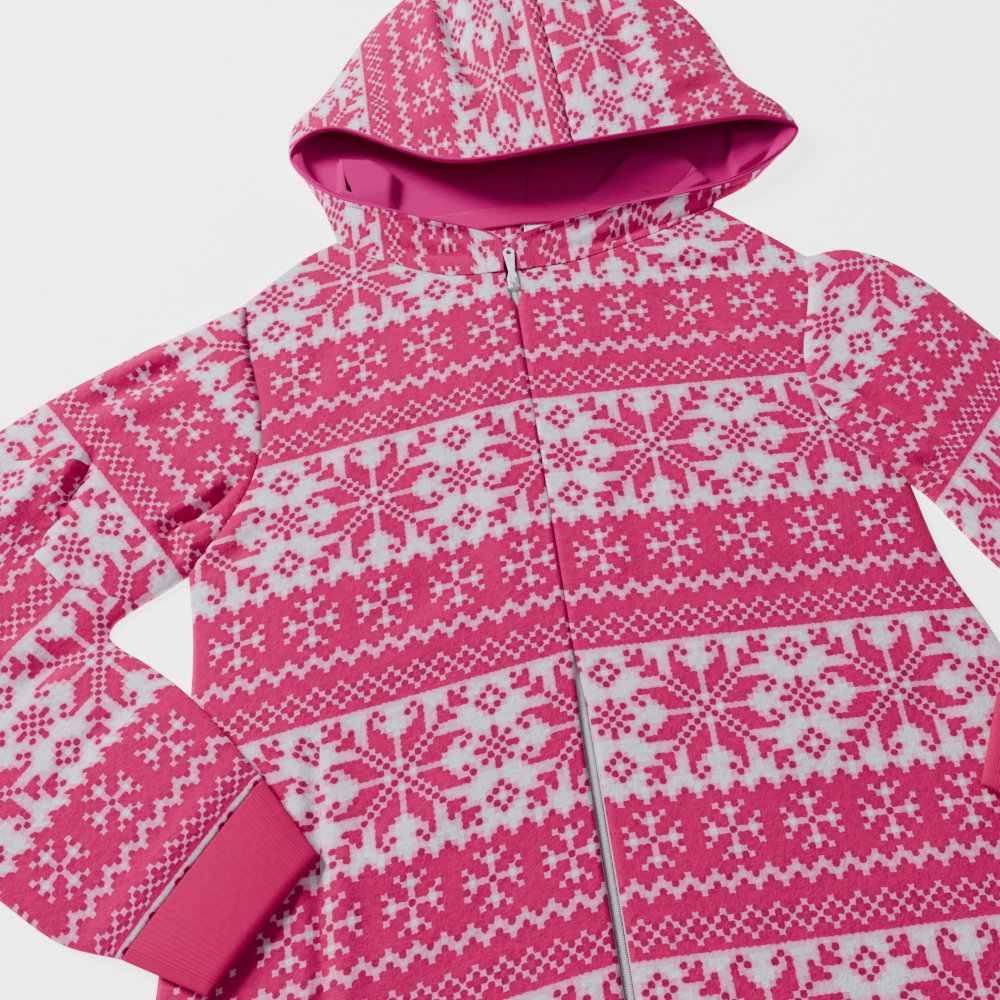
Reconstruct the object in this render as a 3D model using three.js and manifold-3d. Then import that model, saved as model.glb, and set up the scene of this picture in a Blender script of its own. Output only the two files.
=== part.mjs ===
// Hooded onesie pajama of printed fleece, laid flat on its back with the zip up.
// Millimetres. +X is the viewer's right, +Y runs to the hood, +Z is up off the surface.
// While it is built the zero point is the top of the zip; the last lines move it under the middle.
import * as THREE from "three";
import { mergeVertices } from "three/addons/utils/BufferGeometryUtils.js";
import Module from "manifold-3d";

const wasm = await Module();
wasm.setup();

// Driving dimensions
const FLEECE = 2.2; // body and hood cloth
const RIB = 2.0; // cuff knit
const LINING = 1.2; // hood lining
const GAP = 0.3; // between pieces at a seam
const ZIP_HEIGHT = 12; // middle of the front wall along the zip
const CENTRE_Z = FLEECE / 2; // middle of a wall that lies on the surface
const EDGE_Z = CENTRE_Z + FLEECE + GAP; // middle of a front wall where it meets the back wall
const SLEEVE_PUFF = 10; // rise of a sleeve's upper layer
const CUFF_PUFF = 6;
const ZIP_LENGTH = 620;
// Half the space between the front edges at the neckline, where they meet, and over the coil;
// they meet from under the slider down to meetingEnd and part over the next stretch
const ZIP_OPENING = { neck: 5.5, met: 0.4, coil: 4.2, end: 0.15 };
const SLIDER_FOOT = -18; // the edges stay apart for the slider down to here
const CLOSING = 14;
const MEETING_END = -330;
const PARTING = 60;
const COIL = { width: 6, thick: 2.4, z: 9.4 };
const TAPE = { width: 14, thick: 1, z: 9.7 };
const SLIDER = { width: 9, length: 12, bottom: 8, top: 13.6, corner: 0.8, bevel: 0.5, middleY: -7 };
const BRIDGE = { half: 4.6, rise: 4.9, wire: 1.3, width: 2.4, foot: 0.5 };
const PULL = {
  length: 34, arm: 7.4, armEnd: 6, waist: 5, waistEnd: 9, ring: 9.4, hole: 2.3,
  window: 3.6, windowEnd: 5.4, thick: 1.5, bevel: 0.3, lift: 1.7,
};
const NECK_TAPE = { half: 11, thick: 1.2, z: 3.4 };

const AROUND = 20; // points round a sleeve or cuff
const HALF = AROUND / 2;
const NECK_STEPS = 6; // along the front neckline, and again along the back one
const SHOULDER_STEPS = 5;
const CHEST_Y = -235; // the centre edge's level at the armpits
const CROTCH = { high: -700, low: -860 }; // the front's domed body turns into two legs here
const DOME = 2.6; // how square the top layer of a flattened tube is
const FOLD_CLEAR = 3.5; // a sleeve's folded edges start this many gaps further from the body

const PRINT = { color: "#e23f8f", roughness: 0.95, metalness: 0 };
const PINK = { color: "#f00a74", roughness: 0.92, metalness: 0 };
const WHITE_KNIT = { color: "#d9d6e2", roughness: 0.8, metalness: 0 };
const WHITE_ENAMEL = { color: "#f4f3f6", roughness: 0.35, metalness: 0.1 };

// Body rails below the armpit, from the ribs to the ankle: the centre edge, then each side
const BODY = [
  { y: -300, centre: 0, left: -268, leftY: -300, right: 283, rightY: -296 },
  { y: -380, centre: 0, left: -275, leftY: -380, right: 306, rightY: -374 },
  { y: -480, centre: 0, left: -288, leftY: -480, right: 312, rightY: -474 },
  { y: -600, centre: 0, left: -303, leftY: -600, right: 308, rightY: -598 },
  { y: -700, centre: 0, left: -302, leftY: -708, right: 304, rightY: -706 },
  { y: -770, centre: 0, left: -296, leftY: -790, right: 298, rightY: -788 },
  { y: -820, centre: 22, left: -288, leftY: -860, right: 290, rightY: -858 },
  { y: -1060, centre: 50, left: -258, leftY: -1076, right: 260, rightY: -1076 },
  { y: -1430, centre: 78, left: -222, leftY: -1430, right: 224, rightY: -1430 },
];
const ANKLE = { inner: 96, outer: 200, length: 70 };

const SHOULDER = {
  left: [[-141, 60], [-174, 43], [-222, 4]],
  right: [[182, 59], [222, 22], [248, -4]],
};
const ARMPIT = { left: [-270, -235], right: [275, -223] };
const ARMHOLE_BOW = { left: 37, right: -44 };

// Sleeve sections from the armhole to the wrist: under rail, top rail, how high each lies, bow
const SLEEVE = {
  left: [
    { under: [-270, -235], top: [-222, 4], underZ: 0, topZ: 0, bow: 37 },
    { under: [-286, -245], top: [-262, -14], underZ: 0, topZ: 0, bow: 24 },
    { under: [-303, -254], top: [-320, -40], underZ: 0, topZ: 0, bow: 10 },
    { under: [-317, -262], top: [-416, -95], underZ: 0, topZ: 0, bow: 0 },
    { under: [-326, -269], top: [-488, -168], underZ: 0, topZ: 0, bow: 0 },
    { under: [-329, -279], top: [-517, -262], underZ: 0, topZ: 0, bow: 0 },
    { under: [-320, -290], top: [-502, -340], underZ: 0, topZ: 0, bow: 0 },
    { under: [-300, -306], top: [-462, -404], underZ: 3, topZ: 0, bow: 0 },
    { under: [-272, -334], top: [-402, -452], underZ: 10, topZ: 0, bow: 0 },
    { under: [-244, -371], top: [-358, -488], underZ: 14.5, topZ: 1, bow: 0 },
    { under: [-222, -402], top: [-316, -505], underZ: 14.5, topZ: 6, bow: 0 },
  ],
  right: [
    { under: [275, -223], top: [248, -4], underZ: 0, topZ: 0, bow: -44 },
    { under: [289, -241], top: [288, -2], underZ: 0, topZ: 0, bow: -16 },
    { under: [300, -262], top: [334, -34], underZ: 0, topZ: 0, bow: -5 },
    { under: [314, -288], top: [390, -116], underZ: 0, topZ: 0, bow: 0 },
    { under: [332, -318], top: [452, -200], underZ: 0, topZ: 0, bow: 0 },
    { under: [344, -340], top: [520, -298], underZ: 0, topZ: 0, bow: 0 },
    { under: [348, -352], top: [541, -378], underZ: 0, topZ: 0, bow: 0 },
    { under: [342, -366], top: [514, -446], underZ: 3, topZ: 0, bow: 0 },
    { under: [322, -384], top: [456, -480], underZ: 10, topZ: 0, bow: 0 },
    { under: [304, -396], top: [424, -490], underZ: 14, topZ: 1, bow: 0 },
    { under: [287, -405], top: [393, -495], underZ: 14.5, topZ: 5, bow: 0 },
  ],
};
const CUFF_END = {
  left: { under: [-188, -458], top: [-260, -536], underZ: 14.5, topZ: 14.5 },
  right: { under: [257, -466], top: [339, -534], underZ: 14.5, topZ: 6 },
};

// Hood halves: a row for each section from the mouth rim (first) to the back seam (last).
// Each section runs from the neckline, under, round the side fold and over to the top seam.
const HOOD_BACK_SEAM = {
  neck: [20, 72, 1.1], band: [34, 150, 1.1], lip: [46, 230, 1.1], cheek: [56, 330, 1.1],
  fold: [60, 424, 6.5], brow: [60, 421, 10.5], over: [60.2, 411, 13], seam: [60.5, 398, 15],
};
const HOOD = {
  left: [
    {
      neck: [-5.5, 5, 12], band: [-9, 44, 13], lip: [-70, 66, 21], cheek: [-143, 103, 18],
      fold: [-174, 150, 15], brow: [-134, 164, 30], over: [-40, 104, 42], seam: [66, 106, 46],
    },
    {
      neck: [-62, 12, 9.5], band: [-100, 40, 7], lip: [-135, 76, 5.5], cheek: [-160, 125, 4.5],
      fold: [-171, 185, 11], brow: [-125, 197, 27], over: [-35, 158, 36], seam: [66, 160, 41],
    },
    {
      neck: [-141, 60, 3.6], band: [-147, 95, 1.1], lip: [-150, 135, 1.1], cheek: [-150, 185, 1.1],
      fold: [-141, 225, 9], brow: [-98, 236, 21], over: [-20, 228, 29], seam: [65, 232, 33],
    },
    {
      neck: [-65, 67, 1.1], band: [-80, 130, 1.1], lip: [-88, 195, 1.1], cheek: [-86, 262, 1.1],
      fold: [-72, 325, 8], brow: [-40, 330, 17], over: [10, 318, 22], seam: [63, 316, 26],
    },
    HOOD_BACK_SEAM,
  ],
  right: [
    {
      neck: [5.5, 5, 12], band: [9, 40, 13], lip: [90, 57, 19], cheek: [205, 78, 16],
      fold: [269, 124, 14], brow: [232, 134, 28], over: [150, 119, 40], seam: [66, 106, 46],
    },
    {
      neck: [66, 14, 9.5], band: [120, 38, 7], lip: [176, 60, 5.5], cheek: [228, 92, 4.5],
      fold: [264, 150, 11], brow: [226, 166, 26], over: [150, 160, 36], seam: [66, 160, 41],
    },
    {
      neck: [182, 59, 3.6], band: [197, 90, 1.1], lip: [212, 125, 1.1], cheek: [224, 165, 1.1],
      fold: [233, 198, 9], brow: [195, 222, 21], over: [135, 232, 29], seam: [65, 232, 33],
    },
    {
      neck: [100, 67, 1.1], band: [125, 125, 1.1], lip: [150, 180, 1.1], cheek: [178, 245, 1.1],
      fold: [196, 300, 8], brow: [165, 315, 17], over: [112, 318, 22], seam: [63, 316, 26],
    },
    HOOD_BACK_SEAM,
  ],
};
const HOOD_COLUMNS = ["neck", "band", "lip", "cheek", "fold", "brow", "over", "seam"];

// The largest folds of the upper layers: a soft ridge (+) or trough (-) along a straight run
const FOLDS = [
  { from: [-225, -168], to: [-290, -200], width: 11, rise: -5 },
  { from: [-215, -190], to: [-282, -226], width: 12, rise: 4 },
  { from: [-350, -84], to: [-262, -50], width: 12, rise: -5 },
  { from: [-345, -128], to: [-392, -212], width: 12, rise: -6 },
  { from: [-372, -122], to: [-418, -205], width: 15, rise: 5 },
  { from: [-330, -280], to: [-400, -330], width: 12, rise: -4 },
  { from: [122, 2], to: [202, -8], width: 13, rise: -5 },
  { from: [100, -16], to: [190, -102], width: 10, rise: -3 },
  { from: [258, -146], to: [312, -198], width: 10, rise: -4 },
  { from: [262, -200], to: [335, -250], width: 12, rise: 4 },
  { from: [350, -330], to: [430, -290], width: 12, rise: -4 },
  { from: [362, -372], to: [440, -400], width: 13, rise: 4 },
  { from: [-188, -372], to: [-190, -640], width: 14, rise: -3 },
  { from: [-6, 330], to: [10, 150], width: 26, rise: -6 },
  { from: [118, 330], to: [134, 150], width: 26, rise: -5 },
  { from: [-60, -690], to: [-150, -640], width: 22, rise: -4 },
  { from: [64, -700], to: [150, -652], width: 20, rise: -4 },
  { from: [-205, -1070], to: [-90, -1030], width: 20, rise: 4 },
  { from: [95, -1050], to: [205, -1090], width: 18, rise: 4 },
];

// Small helpers
const { smoothstep, clamp } = THREE.MathUtils;
const lerp = (a, b, t) => a + (b - a) * t;
const vec = ([x, y, z = 0]) => new THREE.Vector3(x, y, z);
const bowShare = (q) => Math.pow(Math.max(0, Math.sin(Math.PI * clamp(q, 0, 1) ** 1.5)), 1.1);
const bowSlope = (q) => {
  const [before, after] = [Math.max(0, q - 0.01), Math.min(1, q + 0.01)];
  return (bowShare(after) - bowShare(before)) / (after - before);
};
const ramp = (x, length) => clamp(x / length, 0, 1);
const bump = (x, { far, at, wide }) => far * Math.exp(-(((x - at) / wide) ** 2));
const dome = (x) => Math.pow(Math.max(0, 1 - Math.pow(Math.abs(x), DOME)), 1 / DOME);
const steps = (count) => Array.from({ length: count + 1 }, (_, i) => i / count);
const mix = (a, b, t) => new THREE.Vector3().lerpVectors(a, b, t);
const along = (points, t) => new THREE.CatmullRomCurve3(points, false, "catmullrom").getPoint(t);

// Places across a flattened tube, from one fold (+1) to the other (-1), closer at the folds
const acrossTube = steps(HALF).map((t) => {
  const turn = Math.cos(Math.PI * t);
  return Math.sign(turn) * Math.pow(Math.abs(turn), 2 / DOME);
});

// How far a point of an upper layer is lifted by the folds that pass it
function foldRise(x, y) {
  const here = new THREE.Vector2(x, y);
  return FOLDS.reduce((sum, { from, to, width, rise }) => {
    const start = new THREE.Vector2(...from);
    const run = new THREE.Vector2(...to).sub(start);
    const t = clamp(here.clone().sub(start).dot(run) / run.lengthSq(), 0, 1);
    const off = here.distanceTo(start.addScaledVector(run, t));
    return sum + rise * (0.35 + 0.65 * Math.sin(Math.PI * t)) * Math.exp(-((off / width) ** 2));
  }, 0);
}

// Unit normals of a grid of points; a tube's columns run on from last to first
function gridNormals(grid, tube) {
  const last = grid[0].length - 1;
  return grid.map((row, i) =>
    row.map((point, j) => {
      const before = tube ? row[(j + last) % (last + 1)] : row[Math.max(0, j - 1)];
      const after = tube ? row[(j + 1) % (last + 1)] : row[Math.min(last, j + 1)];
      const up = grid[Math.min(grid.length - 1, i + 1)][j];
      const down = grid[Math.max(0, i - 1)][j];
      const side = new THREE.Vector3().subVectors(after, before);
      return side.cross(new THREE.Vector3().subVectors(up, down)).normalize();
    }),
  );
}

// The same, with the last row and column kept from leaning across the centre seam
function seamNormals(grid, tube, seams) {
  const normals = gridNormals(grid, tube);
  const onSeam = (i, j) => seams && (i === grid.length - 1 || j === grid[0].length - 1);
  normals.forEach((row, i) => row.forEach((n, j) => onSeam(i, j) && n.setX(0).normalize()));
  return normals;
}

// A cloth wall: the grid is its middle, moved half the wall each way, with its edges closed.
// No point goes under the lowest height, and a wall with seams keeps its last row and column true.
function wall(grid, thick, { tube = false, lowest = 0, seams = false } = {}) {
  const normals = seamNormals(grid, tube, seams);
  const side = (offset) =>
    grid.map((row, i) =>
      row.map((point, j) => {
        const moved = point.clone().addScaledVector(normals[i][j], offset);
        moved.z = Math.max(moved.z, lowest);
        return moved;
      }),
    );
  return closedWall(side(thick / 2), side(-thick / 2), tube);
}

// Joins two like grids, face and back of a wall, into one closed body
function closedWall(face, back, tube) {
  const rows = face.length;
  const columns = face[0].length;
  const position = [...face.flat(), ...back.flat()].flatMap((p) => p.toArray());
  const at = (layer, i, j) => layer * rows * columns + i * columns + (j % columns);
  const index = [];
  const quad = (a, b, c, d) => index.push(a, b, c, a, c, d);
  const spans = tube ? columns : columns - 1;
  for (let i = 0; i < rows - 1; i++)
    for (let j = 0; j < spans; j++) {
      quad(at(0, i, j), at(0, i, j + 1), at(0, i + 1, j + 1), at(0, i + 1, j));
      quad(at(1, i, j), at(1, i + 1, j), at(1, i + 1, j + 1), at(1, i, j + 1));
    }
  for (let j = 0; j < spans; j++) {
    quad(at(0, 0, j + 1), at(0, 0, j), at(1, 0, j), at(1, 0, j + 1));
    quad(at(0, rows - 1, j), at(0, rows - 1, j + 1), at(1, rows - 1, j + 1), at(1, rows - 1, j));
  }
  for (let i = 0; !tube && i < rows - 1; i++) {
    quad(at(0, i, 0), at(0, i + 1, 0), at(1, i + 1, 0), at(1, i, 0));
    quad(at(0, i + 1, columns - 1), at(0, i, columns - 1), at(1, i, columns - 1),
      at(1, i + 1, columns - 1));
  }
  const geometry = new THREE.BufferGeometry();
  geometry.setAttribute("position", new THREE.Float32BufferAttribute(position, 3));
  geometry.setIndex(index);
  return facingOut(geometry);
}

// Turns a closed body's faces out where its volume comes out negative
function facingOut(geometry) {
  const p = geometry.getAttribute("position");
  const index = geometry.index.array;
  const corner = (k) => new THREE.Vector3().fromBufferAttribute(p, index[k]);
  let volume = 0;
  for (let k = 0; k < index.length; k += 3)
    volume += corner(k).dot(corner(k + 1).cross(corner(k + 2)));
  if (volume < 0)
    for (let k = 0; k < index.length; k += 3)
      [index[k + 1], index[k + 2]] = [index[k + 2], index[k + 1]];
  geometry.computeVertexNormals();
  return geometry;
}

// A closed body as a solid, and the largest body of a solid as a geometry again
function solid(geometry) {
  const vertProperties = new Float32Array(geometry.getAttribute("position").array);
  const triVerts = new Uint32Array(geometry.index.array);
  return new wasm.Manifold(new wasm.Mesh({ numProp: 3, vertProperties, triVerts }));
}

function largest(made) {
  const [body] = made.decompose().sort((a, b) => b.volume() - a.volume());
  const mesh = body.getMesh();
  const geometry = new THREE.BufferGeometry();
  geometry.setAttribute("position", new THREE.Float32BufferAttribute(mesh.vertProperties, 3));
  geometry.setIndex([...mesh.triVerts]);
  geometry.computeVertexNormals();
  return geometry;
}

// Shared seams
const hoodColumn = (side, name) => HOOD[side].map((row) => vec(row[name]));
const neckPoint = (side, a) => along(hoodColumn(side, "neck"), a);
const ARMHOLE = Object.fromEntries(
  ["left", "right"].map((side) => [
    side,
    (q) => {
      const tip = vec(SHOULDER[side][2]);
      const point = mix(tip, vec(ARMPIT[side]), q);
      point.x += ARMHOLE_BOW[side] * bowShare(q);
      point.z = CENTRE_Z + Math.max(FLEECE + GAP, SLEEVE_PUFF * dome(2 * q - 1));
      return point;
    },
  ]),
);

// Shares of the way from the centre to the side: the neckline first, then the shoulder
const NECK_SHARE = 0.62;
const panelShares = [
  ...steps(NECK_STEPS).map((t) => t * NECK_SHARE),
  ...steps(SHOULDER_STEPS).slice(1).map((t) => lerp(NECK_SHARE, 1, Math.pow(t, 0.8))),
];

// The top edge of a body panel, along the front (or back) neckline and out along the shoulder
function topEdge(side, share, front) {
  if (share <= NECK_SHARE + 1e-9) {
    const t = share / NECK_SHARE;
    const point = neckPoint(side, front ? t / 2 : 1 - t / 2);
    if (!front) point.z = CENTRE_Z;
    return point;
  }
  const t = (share - NECK_SHARE) / (1 - NECK_SHARE);
  const point = along(SHOULDER[side].map(vec), t);
  point.z = front ? EDGE_Z : CENTRE_Z;
  return point;
}

// Half the space between the two front edges: closed above, a coil's width below, round the slider
function zipOpening(y) {
  const { neck, met, coil, end } = ZIP_OPENING;
  if (y > MEETING_END) return lerp(neck, met, ramp(SLIDER_FOOT - y, CLOSING));
  if (y > -ZIP_LENGTH + 10) return lerp(met, coil, ramp(MEETING_END - y, PARTING));
  return lerp(coil, end, ramp(-ZIP_LENGTH + 10 - y, PARTING / 2));
}

// One row of a body panel below the armpit, at share t of the table
function bodyRails(side, t) {
  const sign = side === "left" ? -1 : 1;
  const pit = vec(ARMPIT[side]);
  const inner = [new THREE.Vector3(0, CHEST_Y, 0), ...BODY.map((r) => vec([sign * r.centre, r.y]))];
  const outer = [pit, ...BODY.map((r) => vec([r[side], r[side + "Y"]]))];
  return { inner: along(inner, t), outer: along(outer, t) };
}

// A front or back panel with its leg, as rows from the shoulder to the ankle
function bodyPanel(side, front, lowerRows) {
  const sign = side === "left" ? -1 : 1;
  const topInner = topEdge(side, 0, front);
  const armRows = acrossTube.map((x) => {
    const q = (1 - x) / 2;
    const inner = new THREE.Vector3(0, lerp(topInner.y, CHEST_Y, q), 0);
    return { inner, outer: ARMHOLE[side](q), top: (1 - q) ** 2, q };
  });
  const legRows = steps(lowerRows).slice(1).map((t) => ({ ...bodyRails(side, t), top: 0, q: 1 }));
  const grid = [...armRows, ...legRows].map(({ inner, outer, top, q }) => {
    const start = inner.clone();
    const leaning = front ? 0 : topInner.x * top;
    const opening = front ? zipOpening(inner.y) : GAP / 2;
    start.x = sign * inner.x > opening ? inner.x : sign * opening + leaning;
    return panelShares.map((share) => {
      const point = mix(start, outer, share);
      const plain = mix(new THREE.Vector3(start.x, topInner.y, 0), ARMHOLE[side](0), share);
      const edge = topEdge(side, share, front);
      point.x += (edge.x - plain.x) * top * (share > 0 ? 1 : 0);
      point.y += (edge.y - plain.y) * top;
      point.z = CENTRE_Z;
      if (front) point.z = frontHeight(point, share, q === 1 ? 1 : q, outer.z, top, edge.z);
      return point;
    });
  });
  return wall(grid, FLEECE, { lowest: front ? FLEECE + GAP : 0 });
}

// The front layer's height: full at the zip, falling to the side seam or to the armhole
function frontHeight(point, share, q, armholeZ, top, edgeZ) {
  const sideZ = q < 1 ? armholeZ : EDGE_Z;
  const inseam = smoothstep(point.y, CROTCH.low, CROTCH.high);
  const centreZ = lerp(EDGE_Z, ZIP_HEIGHT, inseam);
  const open = lerp(Math.sin(Math.PI * share), 1, inseam);
  const crown = lerp(dome(2 * share - 1) * SLEEVE_PUFF, (centreZ - EDGE_Z) * dome(share), inseam);
  const across = q < 1 ? lerp(sideZ, ZIP_HEIGHT, dome(share)) : EDGE_Z + crown;
  const settled = lerp(across, edgeZ, top);
  const free = Math.sin(Math.PI * share) * (1 - top);
  return settled + foldRise(point.x, point.y) * Math.min(1, 1.6 * free * open);
}

// Points round a flattened tube: the upper layer from the top rail to the under rail, then back
function tubeSection({ under, top, underZ, topZ, bow = 0, clear = 0 }, thick, puff, folds = 0) {
  const underRail = vec(under);
  const topRail = vec(top);
  const place = (x) => {
    const q = (1 - x) / 2;
    const point = mix(topRail, underRail, q);
    const seam = new THREE.Vector2().subVectors(underRail, topRail);
    seam.x += bow * bowSlope(q);
    const apart = clear * (1 + FOLD_CLEAR * x ** 4);
    point.x += bow * bowShare(q) - (apart * seam.y) / seam.length();
    point.y += (apart * seam.x) / seam.length();
    point.z = lerp(topZ, underZ, q) + thick / 2;
    return point;
  };
  const upper = acrossTube.map((x) => {
    const point = place(x);
    point.z += puff * dome(x) + folds * dome(x) * foldRise(point.x, point.y);
    return point;
  });
  const lower = acrossTube.slice(1, -1).reverse().map(place);
  return [...upper, ...lower];
}

// A sleeve from armhole to wrist; its first ring keeps a seam's gap from the body
function sleeve(side, rows) {
  const table = SLEEVE[side];
  const sign = side === "left" ? -1 : 1;
  const control = table.map((row) => ({
    under: vec([...row.under, row.underZ]),
    top: vec([...row.top, row.topZ]),
  }));
  const grid = steps(rows).map((t) => {
    const place = t * (table.length - 1);
    const row = Math.min(Math.floor(place), table.length - 2);
    const under = along(control.map((c) => c.under), t);
    const top = along(control.map((c) => c.top), t);
    return tubeSection(
      {
        under: [under.x, under.y],
        top: [top.x, top.y],
        underZ: Math.max(0, under.z),
        topZ: Math.max(0, top.z),
        bow: lerp(table[row].bow, table[row + 1].bow, place - row),
        clear: t === 0 ? sign * GAP * 2.2 : 0,
      },
      FLEECE,
      lerp(SLEEVE_PUFF, CUFF_PUFF, smoothstep(t, 0.8, 1)),
      smoothstep(t, 0, 0.15) * smoothstep(1 - t, 0, 0.2),
    );
  });
  return wall(grid, FLEECE, { tube: true });
}

// A rib cuff as a short flattened tube that narrows away from its seam
function cuff(start, end, rows = 2) {
  const run = mix(vec(end.under), vec(end.top), 0.5).sub(mix(vec(start.under), vec(start.top), 0.5));
  const gap = run.normalize().multiplyScalar(GAP * 2);
  const grid = steps(rows).map((t) => {
    const rail = (name) => {
      const point = mix(vec(start[name]), vec(end[name]), t);
      return t === 0 ? [point.x + gap.x, point.y + gap.y] : [point.x, point.y];
    };
    return tubeSection(
      {
        under: rail("under"),
        top: rail("top"),
        underZ: lerp(start.underZ, end.underZ, t),
        topZ: lerp(start.topZ, end.topZ, t),
      },
      RIB,
      CUFF_PUFF,
    );
  });
  return wall(grid, RIB, { tube: true });
}

function ankleCuff(side) {
  const sign = side === "left" ? -1 : 1;
  const last = BODY[BODY.length - 1];
  return cuff(
    { under: [sign * last.centre, last.y], top: [last[side], last.y], underZ: 0, topZ: 0 },
    {
      under: [sign * ANKLE.inner, last.y - ANKLE.length],
      top: [sign * ANKLE.outer, last.y - ANKLE.length],
      underZ: 0,
      topZ: 0,
    },
  );
}

// Half of the hood as a grid: a runs from the mouth rim to the back seam, b from neck to top seam
function hoodGrid(side, aPlaces, bPlaces) {
  const sign = side === "left" ? -1 : 1;
  const columns = HOOD_COLUMNS.map((name) => hoodColumn(side, name));
  return aPlaces.map((a) => {
    const section = columns.map((column) => along(column, a));
    return bPlaces.map((b) => {
      const point = along(section, b);
      const ontoSeam = Math.max(a === 1 ? 1 : 0, b === 1 ? 1 : 0);
      point.x += sign * (GAP / 2) * ontoSeam;
      if (b === 0) point.y += NECK_CLEAR;
      const free = Math.sin(Math.PI * clamp((b - HOOD_TOP_B) / (1 - HOOD_TOP_B), 0, 1));
      point.z += free * smoothstep(a, 0, 0.2) * foldRise(point.x, point.y);
      return point;
    });
  });
}

const HOOD_FOLD_B = 4 / 7; // where the side fold lies across a half
const HOOD_TOP_B = 0.62; // the upper layer begins here
const HOOD_MIDDLE = [60, 230];
const NECK_CLEAR = 0.42; // the hood's neck edge starts this far from the body's
// How far the lining keeps inside the hood at the side fold and by the neck, and where that is:
// the middle of each bump across (b) or along (a) a half, and its width
const LINING_RETREAT = {
  fold: { far: 10, at: HOOD_FOLD_B, wide: 0.09 },
  neck: { far: 26, at: 0.44, wide: 0.16 },
  lift: { far: 1, at: 0.36, wide: 0.14 },
};
const LINING_DRAWN = { rim: 0.04, back: 0.3, columns: 0.16 }; // shares of the last spacing
const HOOD_A = steps(2 * NECK_STEPS);
const HOOD_B = [0, 0.07, 0.143, 0.21, 0.286, 0.357, 0.428, 0.48, 0.525, 0.56, 0.59, 0.625, 0.67,
  0.714, 0.78, 0.857, 0.93, 1];

function hoodHalf(side) {
  return wall(hoodGrid(side, HOOD_A, HOOD_B), FLEECE, { seams: true });
}

// The lining lies inside its half: the hood's own points moved in, further at the folds,
// with its edges drawn back from the seams
function hoodLining(side) {
  const inside = FLEECE / 2 + GAP * 1.5 + LINING / 2;
  const outer = hoodGrid(side, HOOD_A, HOOD_B);
  const normals = seamNormals(outer, false, true);
  const inward = side === "left" ? -1 : 1;
  const moved = outer.map((row, i) =>
    row.map((point, j) => {
      const nearNeck = 1 - smoothstep(HOOD_B[j], 0.25, 0.5);
      const { fold, neck, lift } = LINING_RETREAT;
      const inPlan = vec(HOOD_MIDDLE).sub(point).setZ(0).normalize();
      const retreat = bump(HOOD_B[j], fold) + bump(HOOD_A[i], neck) * nearNeck;
      const made = point
        .clone()
        .addScaledVector(normals[i][j], inward * inside)
        .addScaledVector(inPlan, retreat);
      const underHood = FLEECE + GAP * 1.5 + LINING / 2 + bump(HOOD_A[i], lift) * nearNeck;
      made.z = Math.max(made.z, underHood);
      return made;
    }),
  );
  const kept = drawnBack(moved.slice(0, -1).map((row) => row.slice(2)), LINING_DRAWN);
  return wall(kept, LINING, { lowest: FLEECE + GAP, seams: true });
}

// A grid with its outer rows and columns drawn back towards the next ones
function drawnBack(grid, { rim, back, columns }) {
  const rows = [...grid];
  rows[0] = grid[0].map((point, j) => mix(point, grid[1][j], rim));
  rows[rows.length - 1] = grid[grid.length - 1].map((point, j) =>
    mix(point, grid[grid.length - 2][j], back),
  );
  return rows.map((row) => {
    const last = row.length - 1;
    const ends = [mix(row[0], row[1], columns), mix(row[last], row[last - 1], columns)];
    return [ends[0], ...row.slice(1, last), ends[1]];
  });
}

// A strip on the inside of the back neck seam
function neckTape() {
  const left = steps(3).map((t) => neckPoint("left", lerp(0.7, 1, t)));
  const right = steps(3).slice(1).map((t) => neckPoint("right", lerp(1, 0.7, t)));
  const grid = [...left, ...right].map((p) =>
    [-NECK_TAPE.half, 0, NECK_TAPE.half].map((d) => new THREE.Vector3(p.x, p.y + d, NECK_TAPE.z)),
  );
  return wall(grid, NECK_TAPE.thick);
}

// Zip: a bar with a rounded section carried along straight places
function bar(places, width, thick, z, inner = null) {
  const grid = places.map((y) => {
    const [low, high] = inner === null ? [-width / 2, width / 2] : inner(y);
    return [new THREE.Vector3(low, y, z), new THREE.Vector3(high, y, z)];
  });
  return wall(grid, thick);
}

const ZIP_TOP = SLIDER.middleY - SLIDER.length / 2 - GAP;
const zipCoil = () => bar([ZIP_TOP, -ZIP_LENGTH + 6], COIL.width, COIL.thick, COIL.z);

function zipTape(sign) {
  const inner = COIL.width / 2 + GAP;
  const places = [ZIP_TOP, MEETING_END, -ZIP_LENGTH];
  const edges = () => [sign * inner, sign * (inner + TAPE.width)].sort((a, b) => a - b);
  return bar(places, TAPE.width, TAPE.thick, TAPE.z, edges);
}

function extruded(shape, depth, bevel) {
  const made = new THREE.ExtrudeGeometry(shape, {
    depth: depth - 2 * bevel,
    bevelEnabled: bevel > 0,
    bevelThickness: bevel,
    bevelSize: bevel,
    bevelOffset: -bevel,
    bevelSegments: 1,
    curveSegments: 6,
  });
  made.translate(0, 0, bevel);
  made.deleteAttribute("normal");
  made.deleteAttribute("uv");
  const joined = mergeVertices(made, 1e-3);
  joined.computeVertexNormals();
  return joined;
}

// Slider body, drawn from the side and carried across
function sliderBody() {
  const half = SLIDER.length / 2;
  const { bottom, top, corner, bevel } = SLIDER;
  const outline = new THREE.Shape();
  outline.moveTo(-half, bottom);
  outline.lineTo(half, bottom);
  outline.lineTo(half, top - corner);
  outline.lineTo(half - corner, top);
  outline.lineTo(-half + corner, top);
  outline.lineTo(-half, top - corner);
  outline.closePath();
  return extruded(outline, SLIDER.width, bevel);
}

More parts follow.
